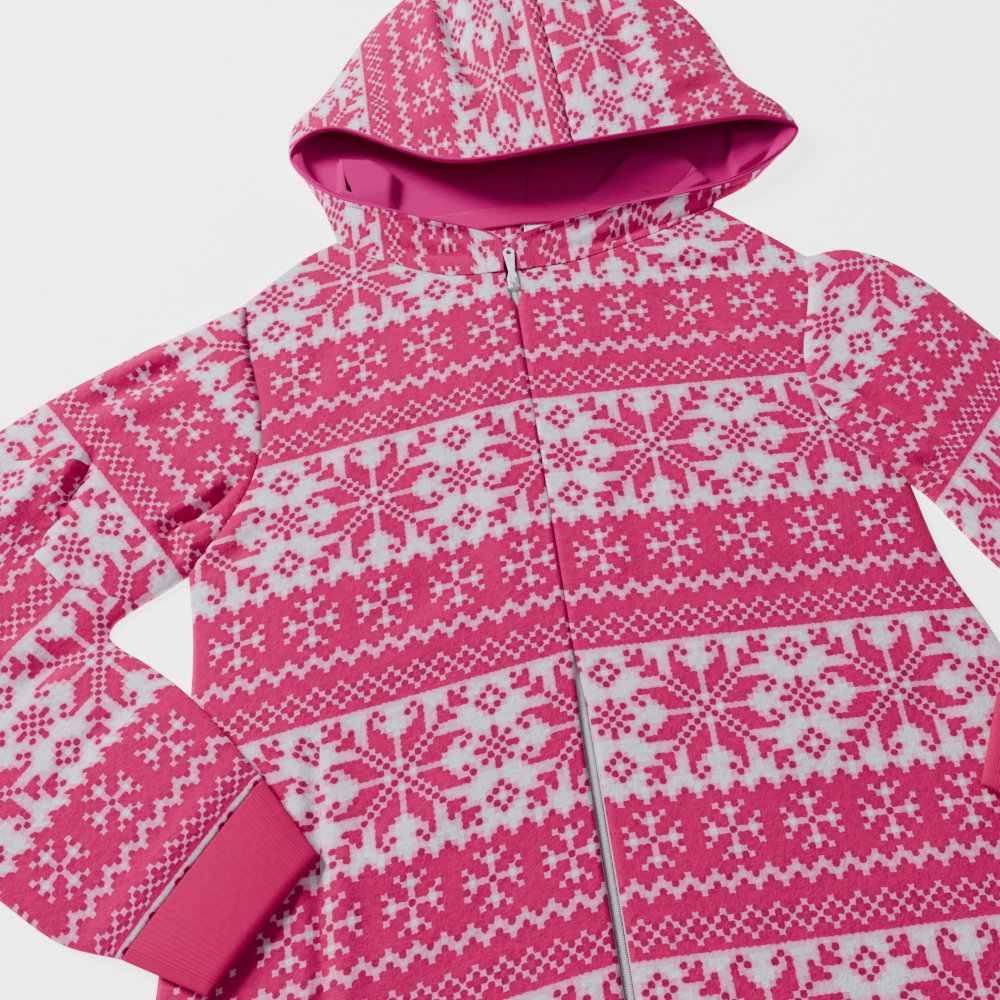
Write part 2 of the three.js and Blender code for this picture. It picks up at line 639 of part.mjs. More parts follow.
function sliderBridge() {
  const { top } = SLIDER;
  const { half, rise, wire, width, foot } = BRIDGE;
  const outline = new THREE.Shape();
  outline.moveTo(-half, top - foot);
  outline.lineTo(-half + wire, top - foot);
  outline.lineTo(-half + wire, top + rise / 2);
  outline.quadraticCurveTo(-half + wire, top + rise - wire, 0, top + rise - wire);
  outline.quadraticCurveTo(half - wire, top + rise - wire, half - wire, top + rise / 2);
  outline.lineTo(half - wire, top - foot);
  outline.lineTo(half, top - foot);
  outline.lineTo(half, top + rise / 2);
  outline.quadraticCurveTo(half, top + rise, 0, top + rise);
  outline.quadraticCurveTo(-half, top + rise, -half, top + rise / 2);
  outline.closePath();
  return extruded(outline, width, 0);
}

// The slider stands across the zip: its side outline turned to face along X
function zipSlider() {
  const [alongX, alongY, alongZ] = [[1, 0, 0], [0, 1, 0], [0, 0, 1]].map(vec);
  const upright = new THREE.Matrix4().makeBasis(alongY, alongZ, alongX);
  const body = sliderBody().applyMatrix4(upright).translate(-SLIDER.width / 2, 0, 0);
  const bridge = sliderBridge().applyMatrix4(upright).translate(-BRIDGE.width / 2, 0, 0);
  return largest(solid(body).add(solid(bridge)));
}

// The pull tab lies towards the hood: a cross bar in the bridge, two arms, a body and a ring hole
function pullTab() {
  const { length, arm, armEnd, waist, waistEnd, ring, hole, thick, bevel } = PULL;
  const { window: gap, windowEnd } = PULL;
  const outline = new THREE.Shape();
  outline.moveTo(-arm / 2, -thick / 2);
  outline.lineTo(arm / 2, -thick / 2);
  outline.lineTo(arm / 2, armEnd);
  outline.lineTo(waist / 2, waistEnd);
  outline.lineTo(ring / 2, length - ring / 2);
  outline.absarc(0, length - ring / 2, ring / 2, 0, Math.PI, false);
  outline.lineTo(-waist / 2, waistEnd);
  outline.lineTo(-arm / 2, armEnd);
  outline.closePath();
  const slot = new THREE.Path();
  slot.moveTo(-gap / 2, thick / 2);
  slot.lineTo(-gap / 2, windowEnd);
  slot.lineTo(gap / 2, windowEnd);
  slot.lineTo(gap / 2, thick / 2);
  slot.closePath();
  const eye = new THREE.Path();
  eye.absarc(0, length - ring / 2, hole, 0, 2 * Math.PI, true);
  outline.holes.push(slot, eye);
  return extruded(outline, thick, bevel);
}

// The garment as a group of named pieces
const garment = new THREE.Group();

function piece(name, geometry, look, position = [0, 0, 0]) {
  const mesh = new THREE.Mesh(geometry, new THREE.MeshStandardMaterial(look));
  mesh.name = name;
  mesh.position.set(...position);
  garment.add(mesh);
}

for (const side of ["left", "right"]) {
  const lastRow = SLEEVE[side][SLEEVE[side].length - 1];
  piece("back_" + side, bodyPanel(side, false, 12), PRINT);
  piece("front_" + side, bodyPanel(side, true, 20), PRINT);
  piece("sleeve_" + side, sleeve(side, 20), PRINT);
  piece("cuff_" + side, cuff(lastRow, CUFF_END[side]), PINK);
  piece("ankle_cuff_" + side, ankleCuff(side), PINK);
  piece("hood_" + side, hoodHalf(side), PRINT);
  piece("hood_lining_" + side, hoodLining(side), PINK);
  piece("zip_tape_" + side, zipTape(side === "left" ? -1 : 1), WHITE_KNIT);
}
piece("neck_tape", neckTape(), PINK);
piece("zip_coil", zipCoil(), WHITE_KNIT);
piece("zip_slider", zipSlider(), WHITE_ENAMEL, [0, SLIDER.middleY, 0]);
piece("zip_pull", pullTab(), WHITE_ENAMEL,
  [0, SLIDER.middleY, SLIDER.top + PULL.lift - PULL.thick / 2]);

// The zero point goes to the middle of the underside of the whole garment
const box = new THREE.Box3().setFromObject(garment);
const middle = box.getCenter(new THREE.Vector3());
garment.position.set(-middle.x, -middle.y, -box.min.z);

export default garment;
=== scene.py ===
"""Hooded onesie pajama of printed fleece, laid flat on its back with the zip up.

The garment is worked out in millimetres with the zero point at the top of the zip, then moved
into the frame in metres. Each panel is a thin cloth shell on a grid of two parameters.
"""

from __future__ import annotations

import logging
from dataclasses import dataclass
from enum import Enum

import bpy
import numpy as np
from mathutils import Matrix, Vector


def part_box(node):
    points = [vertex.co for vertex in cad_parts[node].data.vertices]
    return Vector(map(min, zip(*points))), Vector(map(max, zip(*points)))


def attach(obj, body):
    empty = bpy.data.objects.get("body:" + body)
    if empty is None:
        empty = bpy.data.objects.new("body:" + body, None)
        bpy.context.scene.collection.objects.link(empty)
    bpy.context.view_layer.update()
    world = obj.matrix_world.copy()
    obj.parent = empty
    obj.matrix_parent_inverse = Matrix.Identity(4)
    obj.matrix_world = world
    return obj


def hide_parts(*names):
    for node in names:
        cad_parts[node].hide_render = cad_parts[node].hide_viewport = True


LOG = logging.getLogger("onesie")
MM = 0.001

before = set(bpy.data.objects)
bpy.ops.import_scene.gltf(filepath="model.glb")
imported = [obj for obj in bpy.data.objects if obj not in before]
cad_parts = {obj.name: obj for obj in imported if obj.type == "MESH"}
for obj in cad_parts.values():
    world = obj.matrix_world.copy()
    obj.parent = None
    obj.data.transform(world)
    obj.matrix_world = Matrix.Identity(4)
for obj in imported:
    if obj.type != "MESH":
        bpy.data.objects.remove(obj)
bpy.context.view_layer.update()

# Cloth thickness and the heights that the layers lie at, mm
FLEECE = 2.2
RIB = 2.0
LINING = 1.2
CENTRE_Z = FLEECE / 2
EDGE_Z = CENTRE_Z + FLEECE + 0.3
ZIP_HEIGHT = 12.0
SLEEVE_PUFF = 10.0
CUFF_PUFF = 6.0
ZIP_LENGTH = 620.0
MEETING_END = -330.0
ZIP_TOP = -13.3
COIL_Z = 9.4
NECK_TAPE_Z = 3.4
NECK_TAPE_HALF = 11.0
DOME = 2.6
NECK_SHARE = 0.62
CROTCH_Y = -820.0
HEM = 15.0  # from the hood's rim to its topstitch, mm
LINING_GAP = 0.45  # between the lining and the fleece, mm
LINING_AT_FOLD = 9.0  # how far the lining stands back from the hood's side fold, mm
LINING_CROWDED = 24.0  # how far it is drawn in where the neck crowds it, mm
RIM_ROWS = 2  # rows of the hood's grid at the rim that show the lining rolled over the edge


class Side(Enum):
    """The viewer's left or right half of the garment."""

    LEFT = "left"
    RIGHT = "right"

    @property
    def sign(self) -> int:
        """-1 on the viewer's left, 1 on the right."""
        return -1 if self is Side.LEFT else 1


@dataclass(frozen=True)
class BodyRow:
    """The centre and side edges of the body at one height, mm."""

    y: float
    centre: float
    left: tuple[float, float]
    right: tuple[float, float]


@dataclass(frozen=True)
class SleeveSection:
    """A cut across a sleeve: its two folded edges, how high each lies, and its bow, mm."""

    under: tuple[float, float]
    top: tuple[float, float]
    under_z: float = 0.0
    top_z: float = 0.0
    bow: float = 0.0


@dataclass(frozen=True)
class Crease:
    """A soft trough (rise below zero) or ridge along a run of points.

    Attributes:
        run: points of the crease in plan, mm.
        width: distance over which it fades, mm.
        rise: height at its middle, mm.
        lean: share of cloth heaped on its left side, -1 to 1.
    """

    run: tuple[tuple[float, float], ...]
    width: float
    rise: float
    lean: float = 0.0


@dataclass(frozen=True)
class PrintPatch:
    """How the printed chart lies on one part of the garment, seen in plan.

    Attributes:
        star: the middle of a large star, mm.
        across: the step from one stitch to the next along a row, mm.
        down: the step from one row to the next, mm.
        first: the chart's column at the star.
        fan: share by which the stitches widen from row to row.
        shift: columns that the bands below the star band are moved by.
    """

    star: tuple[float, float]
    across: tuple[float, float]
    down: tuple[float, float]
    first: float = 0.0
    fan: float = 0.0
    shift: float = 0.0

    def chart(self, x: np.ndarray, y: np.ndarray) -> np.ndarray:
        """The chart's column and row at plan points."""
        dx, dy = x - self.star[0], y - self.star[1]
        (ax, ay), (bx, by) = self.across, self.down
        area = ax * by - ay * bx
        column, row = (dx * by - dy * bx) / area, (ax * dy - ay * dx) / area
        column = column / (1 + self.fan * np.clip(row, -20, 40))
        column += self.first + self.shift * smoothstep(row, 12, 14)
        return np.stack([column, row], axis=-1)


BODY = (
    BodyRow(-300, 0, (-268, -300), (283, -296)),
    BodyRow(-380, 0, (-275, -380), (306, -374)),
    BodyRow(-480, 0, (-288, -480), (312, -474)),
    BodyRow(-600, 0, (-303, -600), (308, -598)),
    BodyRow(-700, 0, (-302, -708), (304, -706)),
    BodyRow(-770, 0, (-296, -790), (298, -788)),
    BodyRow(CROTCH_Y, 22, (-288, -860), (290, -858)),
    BodyRow(-1060, 50, (-258, -1076), (260, -1076)),
    BodyRow(-1430, 78, (-222, -1430), (224, -1430)),
)
PIT_Y = -235.0
ANKLE = {"inner": 96.0, "outer": 200.0, "length": 70.0}
SHOULDER = {
    Side.LEFT: ((-141, 60), (-174, 43), (-222, 4)),
    Side.RIGHT: ((182, 59), (222, 22), (248, -4)),
}
ARMPIT = {Side.LEFT: (-270, -235), Side.RIGHT: (275, -223)}
ARMHOLE_BOW = {Side.LEFT: 37.0, Side.RIGHT: -44.0}

SLEEVE = {
    Side.LEFT: (
        SleeveSection((-270, -235), (-222, 4), bow=37),
        SleeveSection((-286, -245), (-262, -14), bow=24),
        SleeveSection((-303, -254), (-320, -40), bow=10),
        SleeveSection((-317, -262), (-416, -95)),
        SleeveSection((-326, -269), (-488, -168)),
        SleeveSection((-329, -279), (-517, -262)),
        SleeveSection((-320, -290), (-502, -340)),
        SleeveSection((-300, -306), (-462, -404), 3),
        SleeveSection((-272, -334), (-402, -452), 10),
        SleeveSection((-244, -371), (-358, -488), 14.5, 1),
        SleeveSection((-222, -402), (-316, -505), 14.5, 6),
    ),
    Side.RIGHT: (
        SleeveSection((275, -223), (248, -4), bow=-44),
        SleeveSection((289, -241), (288, -2), bow=-16),
        SleeveSection((300, -262), (334, -34), bow=-5),
        SleeveSection((314, -288), (390, -116)),
        SleeveSection((332, -318), (452, -200)),
        SleeveSection((344, -340), (520, -298)),
        SleeveSection((348, -352), (541, -378)),
        SleeveSection((342, -366), (514, -446), 3),
        SleeveSection((322, -384), (456, -480), 10),
        SleeveSection((304, -396), (424, -490), 14, 1),
        SleeveSection((287, -405), (393, -495), 14.5, 5),
    ),
}
CUFF_END = {
    Side.LEFT: SleeveSection((-188, -458), (-260, -536), 14.5, 14.5),
    Side.RIGHT: SleeveSection((257, -466), (339, -534), 14.5, 6),
}

# Hood sections from the mouth rim to the back seam. Each runs from the neckline under, by the
# band, lip and cheek, round the side fold, and over by the brow to the seam on top.
HOOD_BACK = (
    (20, 72, 1.1), (34, 150, 1.1), (46, 230, 1.1), (56, 330, 1.1),
    (60, 424, 6.5), (60, 421, 10.5), (60.2, 411, 13), (60.5, 398, 15),
)
HOOD = {
    Side.LEFT: (
        ((-5.5, 5, 12), (-9, 44, 13), (-70, 66, 21), (-143, 103, 18),
         (-174, 150, 15), (-134, 164, 30), (-40, 104, 42), (66, 106, 46)),
        ((-62, 12, 9.5), (-100, 40, 7), (-135, 76, 5.5), (-160, 125, 4.5),
         (-171, 185, 11), (-125, 197, 27), (-35, 158, 36), (66, 160, 41)),
        ((-141, 60, 3.6), (-147, 95, 1.1), (-150, 135, 1.1), (-150, 185, 1.1),
         (-141, 225, 9), (-98, 236, 21), (-20, 228, 29), (65, 232, 33)),
        ((-65, 67, 1.1), (-80, 130, 1.1), (-88, 195, 1.1), (-86, 262, 1.1),
         (-72, 325, 8), (-40, 330, 17), (10, 318, 22), (63, 316, 26)),
        HOOD_BACK,
    ),
    Side.RIGHT: (
        ((5.5, 5, 12), (9, 40, 13), (90, 57, 19), (205, 78, 16),
         (269, 124, 14), (232, 134, 28), (150, 119, 40), (66, 106, 46)),
        ((66, 14, 9.5), (120, 38, 7), (176, 60, 5.5), (228, 92, 4.5),
         (264, 150, 11), (226, 166, 26), (150, 160, 36), (66, 160, 41)),
        ((182, 59, 3.6), (197, 90, 1.1), (212, 125, 1.1), (224, 165, 1.1),
         (233, 198, 9), (195, 222, 21), (135, 232, 29), (65, 232, 33)),
        ((100, 67, 1.1), (125, 125, 1.1), (150, 180, 1.1), (178, 245, 1.1),
         (196, 300, 8), (165, 315, 17), (112, 318, 22), (63, 316, 26)),
        HOOD_BACK,
    ),
}
HOOD_FOLD_B = 4 / 7
HOOD_MIDDLE = np.array([60.0, 230.0, 0.0])

# The main creases, placed from the photo; those out of it follow the cloth's slack
CREASES = (
    Crease(((-222, -160), (-255, -184), (-294, -202)), 5, -12, 0.6),
    Crease(((-212, -186), (-250, -212), (-284, -228)), 9, 6),
    Crease(((-200, -205), (-236, -226), (-266, -240)), 8, -3),
    Crease(((-287, -198), (-275, -226)), 6, -13),
    Crease(((-356, -88), (-310, -66), (-258, -48)), 9, -9, 0.3),
    Crease(((-352, -68), (-306, -47), (-262, -32)), 8, 5),
    Crease(((-345, -106), (-300, -90), (-258, -80)), 10, 4),
    Crease(((-338, -122), (-360, -164), (-390, -216)), 5, -14, 0.7),
    Crease(((-366, -118), (-392, -160), (-420, -208)), 12, 8),
    Crease(((-330, -280), (-366, -300), (-404, -334)), 9, -5, -0.4),
    Crease(((-352, -268), (-396, -286), (-440, -316)), 10, 3),
    Crease(((-300, -330), (-340, -364), (-372, -410)), 9, -3),
    Crease(((-440, -120), (-462, -190), (-470, -250)), 14, -2.4),
    Crease(((-470, -330), (-430, -392), (-380, -440)), 12, -2.4),
    Crease(((118, 4), (160, -6), (206, -10)), 6, -10, -0.5),
    Crease(((126, 16), (166, 9), (210, 5)), 9, 4.5),
    Crease(((96, -10), (140, -50), (190, -104)), 5, -8, 0.6),
    Crease(((150, -24), (196, -70), (232, -118)), 10, 2.4),
    Crease(((240, -128), (282, -168), (318, -200)), 5, -11, 0.6),
    Crease(((272, -128), (300, -150), (330, -182)), 10, 4),
    Crease(((262, -200), (296, -224), (338, -252)), 9, 4),
    Crease(((276, -212), (300, -222), (330, -262)), 6, -11),
    Crease(((350, -330), (388, -316), (434, -288)), 9, -4, 0.4),
    Crease(((356, -300), (396, -280), (432, -252)), 11, 3),
    Crease(((360, -372), (400, -384), (444, -402)), 10, 4),
    Crease(((330, -120), (362, -160), (400, -196)), 12, -2.6),
    Crease(((-186, -366), (-189, -480), (-191, -650)), 6, -5, 0.6),
    Crease(((-172, -372), (-174, -480), (-176, -640)), 9, 2.2),
    Crease(((-150, -20), (-166, -70), (-196, -128)), 12, -2.4),
    Crease(((-96, -70), (-120, -130), (-160, -176)), 14, 1.6),
    Crease(((-32, -60), (-40, -190), (-36, -330)), 12, 1.8),
    Crease(((34, -50), (42, -190), (38, -340)), 12, 1.8),
    Crease(((-60, -250), (-120, -290), (-200, -300)), 16, -1.8),
    Crease(((58, -280), (130, -300), (220, -292)), 16, -1.8),
    Crease(((-84, -420), (-150, -470), (-250, -480)), 18, 1.8),
    Crease(((70, -440), (150, -462), (260, -520)), 18, -1.8),
    Crease(((236, -300), (262, -380), (284, -470)), 12, 2.2),
    Crease(((-60, -690), (-104, -668), (-158, -640)), 16, -4),
    Crease(((-50, -730), (-110, -720), (-190, -700)), 15, -3),
    Crease(((64, -700), (108, -676), (156, -650)), 16, -4),
    Crease(((54, -740), (120, -730), (200, -712)), 15, -3),
    Crease(((-206, -1070), (-150, -1046), (-92, -1030)), 16, 4),
    Crease(((95, -1050), (150, -1074), (206, -1090)), 15, 4),
    Crease(((-210, -1120), (-160, -1104), (-100, -1098)), 13, -3),
    Crease(((100, -1120), (150, -1134), (200, -1150)), 13, -3),
    Crease(((-150, -900), (-156, -1000), (-150, -1300)), 20, 1.8),
    Crease(((150, -900), (158, -1010), (152, -1320)), 20, 1.8),
)
HOOD_CREASES = (
    Crease(((-22, 345), (-16, 260), (2, 165)), 9, -11, 0.6),
    Crease(((-44, 310), (-40, 240), (-26, 165)), 12, 6),
    Crease(((40, 345), (42, 250), (52, 160)), 8, -8, -0.7),
    Crease(((20, 330), (22, 250), (34, 170)), 10, 4),
    Crease(((112, 340), (128, 250), (134, 160)), 12, -5, 0.5),
    Crease(((150, 300), (160, 230), (168, 150)), 14, 4),
    Crease(((-110, 220), (-84, 190), (-60, 150)), 10, -5, 0.4),
    Crease(((214, 190), (186, 170), (150, 150)), 10, -4, 0.4),
    Crease(((-60, 300), (-20, 330), (40, 350)), 14, -3),
)
BAND_CREASES = (
    Crease(((-128, 72), (-86, 44), (-34, 24)), 5, -4, -0.5),
    Crease(((-96, 62), (-60, 44), (-20, 34)), 6, 2.5),
    Crease(((150, 56), (96, 34), (30, 20)), 5, -4, 0.5),
)

# Where the lining heaps up in the hood's mouth: an outline in plan and the height it reaches, mm
LINING_FOLDS = (
    (((44, 40), (64, 68), (90, 95), (120, 123), (165, 111), (186, 79), (150, 64), (90, 53)), 15.0),
    (((-91, 76), (-85, 124), (-104, 143), (-134, 148), (-136, 108), (-120, 92)), 13.0),
    (((206, 84), (202, 104), (212, 138), (264, 136), (262, 122)), 12.0),
)

# The printed chart, a letter for each stitch, X where it is magenta. The star band is
# mirrored both ways about the star's middle stitch; the rows below it are mirrored sideways.
STAR_BAND = (
    "X...........XX.X", ".X.XXXX.......X.", "..X.XXXX..X..X.X", ".X.X.XXXX..X...X",
    ".XX.X.XXXXX.....", ".XXX.X..........", ".XXXX.X........X", "..XXX..XXX....X.",
    "...XX..XX....X..", "....X..X.XXX..X.", "..X.X....XX....X", "...X.....X.X....",
    "................",
)
SNOWFLAKE = ("X....XX", ".XX.XXX", ".XXX.XX", "..XXXXX", ".X.XXXX")
LOWER_BANDS = (
    "..X", ".XX", "XXX",
    *(SNOWFLAKE[abs(row)] for row in range(-4, 5)),
    "XXX", ".XX", "..X", "X..", "XX.", "XXX", "XXX", ".XX", "X.X", "XX.", "X.X", ".XX", "XXX",
)
FRONT_STITCHES = {
    Side.LEFT: (((-179, -372), (-186, -456), (-190, -560), (-192, -640)),
                ((-10, -50), (-11, -200), (-13, -380), (-15, -600))),
    Side.RIGHT: (((8, -50), (8, -330), (13, -440), (20, -600)),),
}
LINING_STITCHES = ((66, 60), (97, 82), (136, 80), (176, 74))
PRINT = {
    "body_left": PrintPatch((-129.5, -195.6), (4.45, 0.76), (0.0, -4.27)),
    "body_right": PrintPatch((85.6, -175.0), (4.45, 0.0), (0.0, -4.27)),
    "arm_left": PrintPatch((-213, -45), (2.26, -3.57), (-3.51, -2.22), first=30),
    "forearm_left": PrintPatch((-333, -295), (2.9, 3.2), (3.05, -2.84), first=30, shift=-1.2),
    "arm_right": PrintPatch((303, -19), (-3.8, -3.97), (2.1, -3.54), 30, -0.011, 1.9),
    "hood_left": PrintPatch((11, 200), (0.0, -6.4), (-3.05, -1.05), 0, -0.008, 1.5),
    "hood_right": PrintPatch((103, 239), (0.0, -5.9), (4.2, 1.5), 0, -0.0075),
}
FOLDED_AWAY = 5.8  # stitches hidden by the upright fold on the left front
# Where the left sleeve's print breaks at the elbow: over the outer fold, then down the tuck
ELBOW_BREAK = ((-900, -60), (-342, -134), (-384, -208), (-360, -238), (-290, -262))
REPEAT_ROWS = 50
STAR_REPEAT = 30
SNOW_REPEAT = 12
SMALL_REPEAT = 4


def linear(hex_colour: str) -> tuple[float, float, float, float]:
    """A screen colour such as "#f00a74" as linear red, green, blue and alpha."""
    parts = [int(hex_colour[k : k + 2], 16) / 255 for k in (1, 3, 5)]
    return (*(c / 12.92 if c <= 0.04045 else ((c + 0.055) / 1.055) ** 2.4 for c in parts), 1.0)


MAGENTA = linear("#c4005f")
DOT = linear("#a01050")
PALE = linear("#e6e0f2")
HALO = linear("#f982bd")
RIB_PINK = linear("#be0056")
LINING_PINK = linear("#c00070")
TAPE_PINK = linear("#c8006c")
ZIP_WHITE = linear("#dcdae6")
ENAMEL = linear("#f6f4fa")


def smoothstep(value: np.ndarray, low: float, high: float) -> np.ndarray:
    """Zero below low, one above high, and an S between."""
    t = np.clip((value - low) / (high - low), 0, 1)
    return t * t * (3 - 2 * t)


def dome(x: np.ndarray) -> np.ndarray:
    """The height across a flattened tube, 1 in the middle and 0 at its folds."""
    return np.maximum(0, 1 - np.abs(x) ** DOME) ** (1 / DOME)


def bow_share(q: np.ndarray) -> np.ndarray:
    """How far along its bow a curved seam is at share q of its length."""
    return np.maximum(0, np.sin(np.pi * np.clip(q, 0, 1) ** 1.5)) ** 1.1


def along(points: np.ndarray, t: np.ndarray) -> np.ndarray:
    """Points at shares t of a smooth curve through the given ones.

    Args:
        points: at least two points, the first axis running along the curve.
        t: shares of the way, 0 to 1.

    Returns:
        An array with one entry of points' kind for each share.
    """
    points = np.asarray(points, float)
    before, after = 2 * points[:1] - points[1:2], 2 * points[-1:] - points[-2:-1]
    padded = np.concatenate([before, points, after])
    place = np.clip(t, 0, 1) * (len(points) - 1)
    k = np.minimum(place.astype(int), len(points) - 2)
    w = (place - k).reshape((-1,) + (1,) * (points.ndim - 1))
    p0, p1, p2, p3 = (padded[k + i] for i in range(4))
    cubic = (2 * p0 - 5 * p1 + 4 * p2 - p3) * w**2 + (3 * (p1 - p2) + p3 - p0) * w**3
    return 0.5 * (2 * p1 + (p2 - p0) * w + cubic)


def grid_normals(grid: np.ndarray, tube: bool = False) -> np.ndarray:
    """Unit normals of a grid of points, whose columns close on themselves on a tube."""
    if tube:
        side = np.roll(grid, -1, axis=1) - np.roll(grid, 1, axis=1)
    else:
        side = np.gradient(grid, axis=1)
    normals = np.cross(side, np.gradient(grid, axis=0))
    return normals / np.maximum(np.linalg.norm(normals, axis=-1, keepdims=True), 1e-9)


def arc_lengths(points: np.ndarray, axis: int) -> np.ndarray:
    """Distances along one axis of a grid of points, from 0 at its first."""
    steps = np.linalg.norm(np.diff(points, axis=axis), axis=-1)
    zero = np.zeros_like(np.take(steps, [0], axis=axis))
    return np.concatenate([zero, np.cumsum(steps, axis=axis)], axis=axis)


def crease_rise(creases: tuple[Crease, ...], x: np.ndarray, y: np.ndarray) -> np.ndarray:
    """How far cloth at plan points is lifted by the creases that pass it, mm."""
    total = np.zeros_like(x)
    for number, crease in enumerate(creases):
        run = along(np.array(crease.run, float), np.linspace(0, 1, 17))
        best = np.full_like(x, np.inf)
        share = np.zeros_like(x)
        signed = np.zeros_like(x)
        for k, (start, end) in enumerate(zip(run[:-1], run[1:])):
            step = end - start
            t = ((x - start[0]) * step[0] + (y - start[1]) * step[1]) / (step @ step)
            t = np.clip(t, 0, 1)
            dx, dy = x - start[0] - t * step[0], y - start[1] - t * step[1]
            off = np.hypot(dx, dy)
            near = off < best
            best = np.where(near, off, best)
            share = np.where(near, (k + t) / (len(run) - 1), share)
            signed = np.where(near, np.sign(dx * step[1] - dy * step[0]) * off, signed)
        uneven = 0.82 + 0.18 * np.sin(9 * share + 1.7 * number)
        taper = (0.15 + 0.85 * np.sin(np.pi * share)) * uneven
        core = np.exp(-((best / crease.width) ** 2))
        heap = np.exp(-(((signed - 1.7 * crease.width) / crease.width) ** 2))
        hollow = np.exp(-(((signed + 1.7 * crease.width) / crease.width) ** 2))
        sides = 0.3 * (1 + crease.lean) * heap + 0.3 * (1 - crease.lean) * hollow
        total += crease.rise * taper * (core - sides)
    return total


def depth_inside(corners: np.ndarray, x: np.ndarray, y: np.ndarray) -> np.ndarray:
    """How far plan points lie inside a closed outline, below zero outside it, mm."""
    inside, off = np.zeros_like(x, bool), np.full_like(x, np.inf)
    for start, end in zip(corners, np.roll(corners, -1, axis=0)):
        step = end - start
        rise = step[1] if step[1] != 0 else 1.0
        crossing = start[0] + (y - start[1]) / rise * step[0]
        inside ^= ((start[1] > y) != (end[1] > y)) & (x < crossing)
        t = np.clip(((x - start[0]) * step[0] + (y - start[1]) * step[1]) / (step @ step), 0, 1)
        off = np.minimum(off, np.hypot(x - start[0] - t * step[0], y - start[1] - t * step[1]))
    return np.where(inside, off, -off)


def slack(x: np.ndarray, y: np.ndarray, seed: float) -> np.ndarray:
    """Low uneven waves of cloth that was laid down by hand, mm."""
    waves = np.sin(x / 31 + 1.3 * np.sin(y / 57 + seed)) * np.cos(y / 43 + 0.9 * np.sin(x / 71))
    fine = np.sin(x / 14 - y / 23 + seed) * np.sin(y / 17 + 2 * seed + np.sin(x / 29))
    return 0.95 * waves + 0.35 * fine


@dataclass
class Cloth:
    """A piece of cloth as a grid of points in the middle of its thickness.

    Attributes:
        grid: rows by columns by 3, mm.
        chart: rows by columns by 2, the printed chart's column and row at each point.
        thick: cloth thickness, mm.
        tube: whether the columns close on themselves.
        flip: whether the grid's normals point into the garment.
        beyond: the chart past a fold that hides some of the cloth, as wide as chart.
        depth: how far each point is past that fold, mm.
    """

    grid: np.ndarray
    chart: np.ndarray
    thick: float
    tube: bool = False
    flip: bool = False
    beyond: np.ndarray | None = None
    depth: np.ndarray | None = None

    @property
    def normals(self) -> np.ndarray:
        """Unit normals towards the cloth's outer side."""
        return grid_normals(self.grid, self.tube) * (-1 if self.flip else 1)

    def face(self, share: float = 1.0) -> np.ndarray:
        """The outer side of the cloth, or the inner side for share -1."""
        return self.grid + self.normals * (share * self.thick / 2)

    def area(self) -> float:
        """The cloth's area in square metres."""
        grid = np.concatenate([self.grid, self.grid[:, :1]], axis=1) if self.tube else self.grid
        side, up = np.diff(grid, axis=1)[:-1], np.diff(grid, axis=0)[:, :-1]
        return float(np.linalg.norm(np.cross(side, up), axis=-1).sum()) * MM * MM


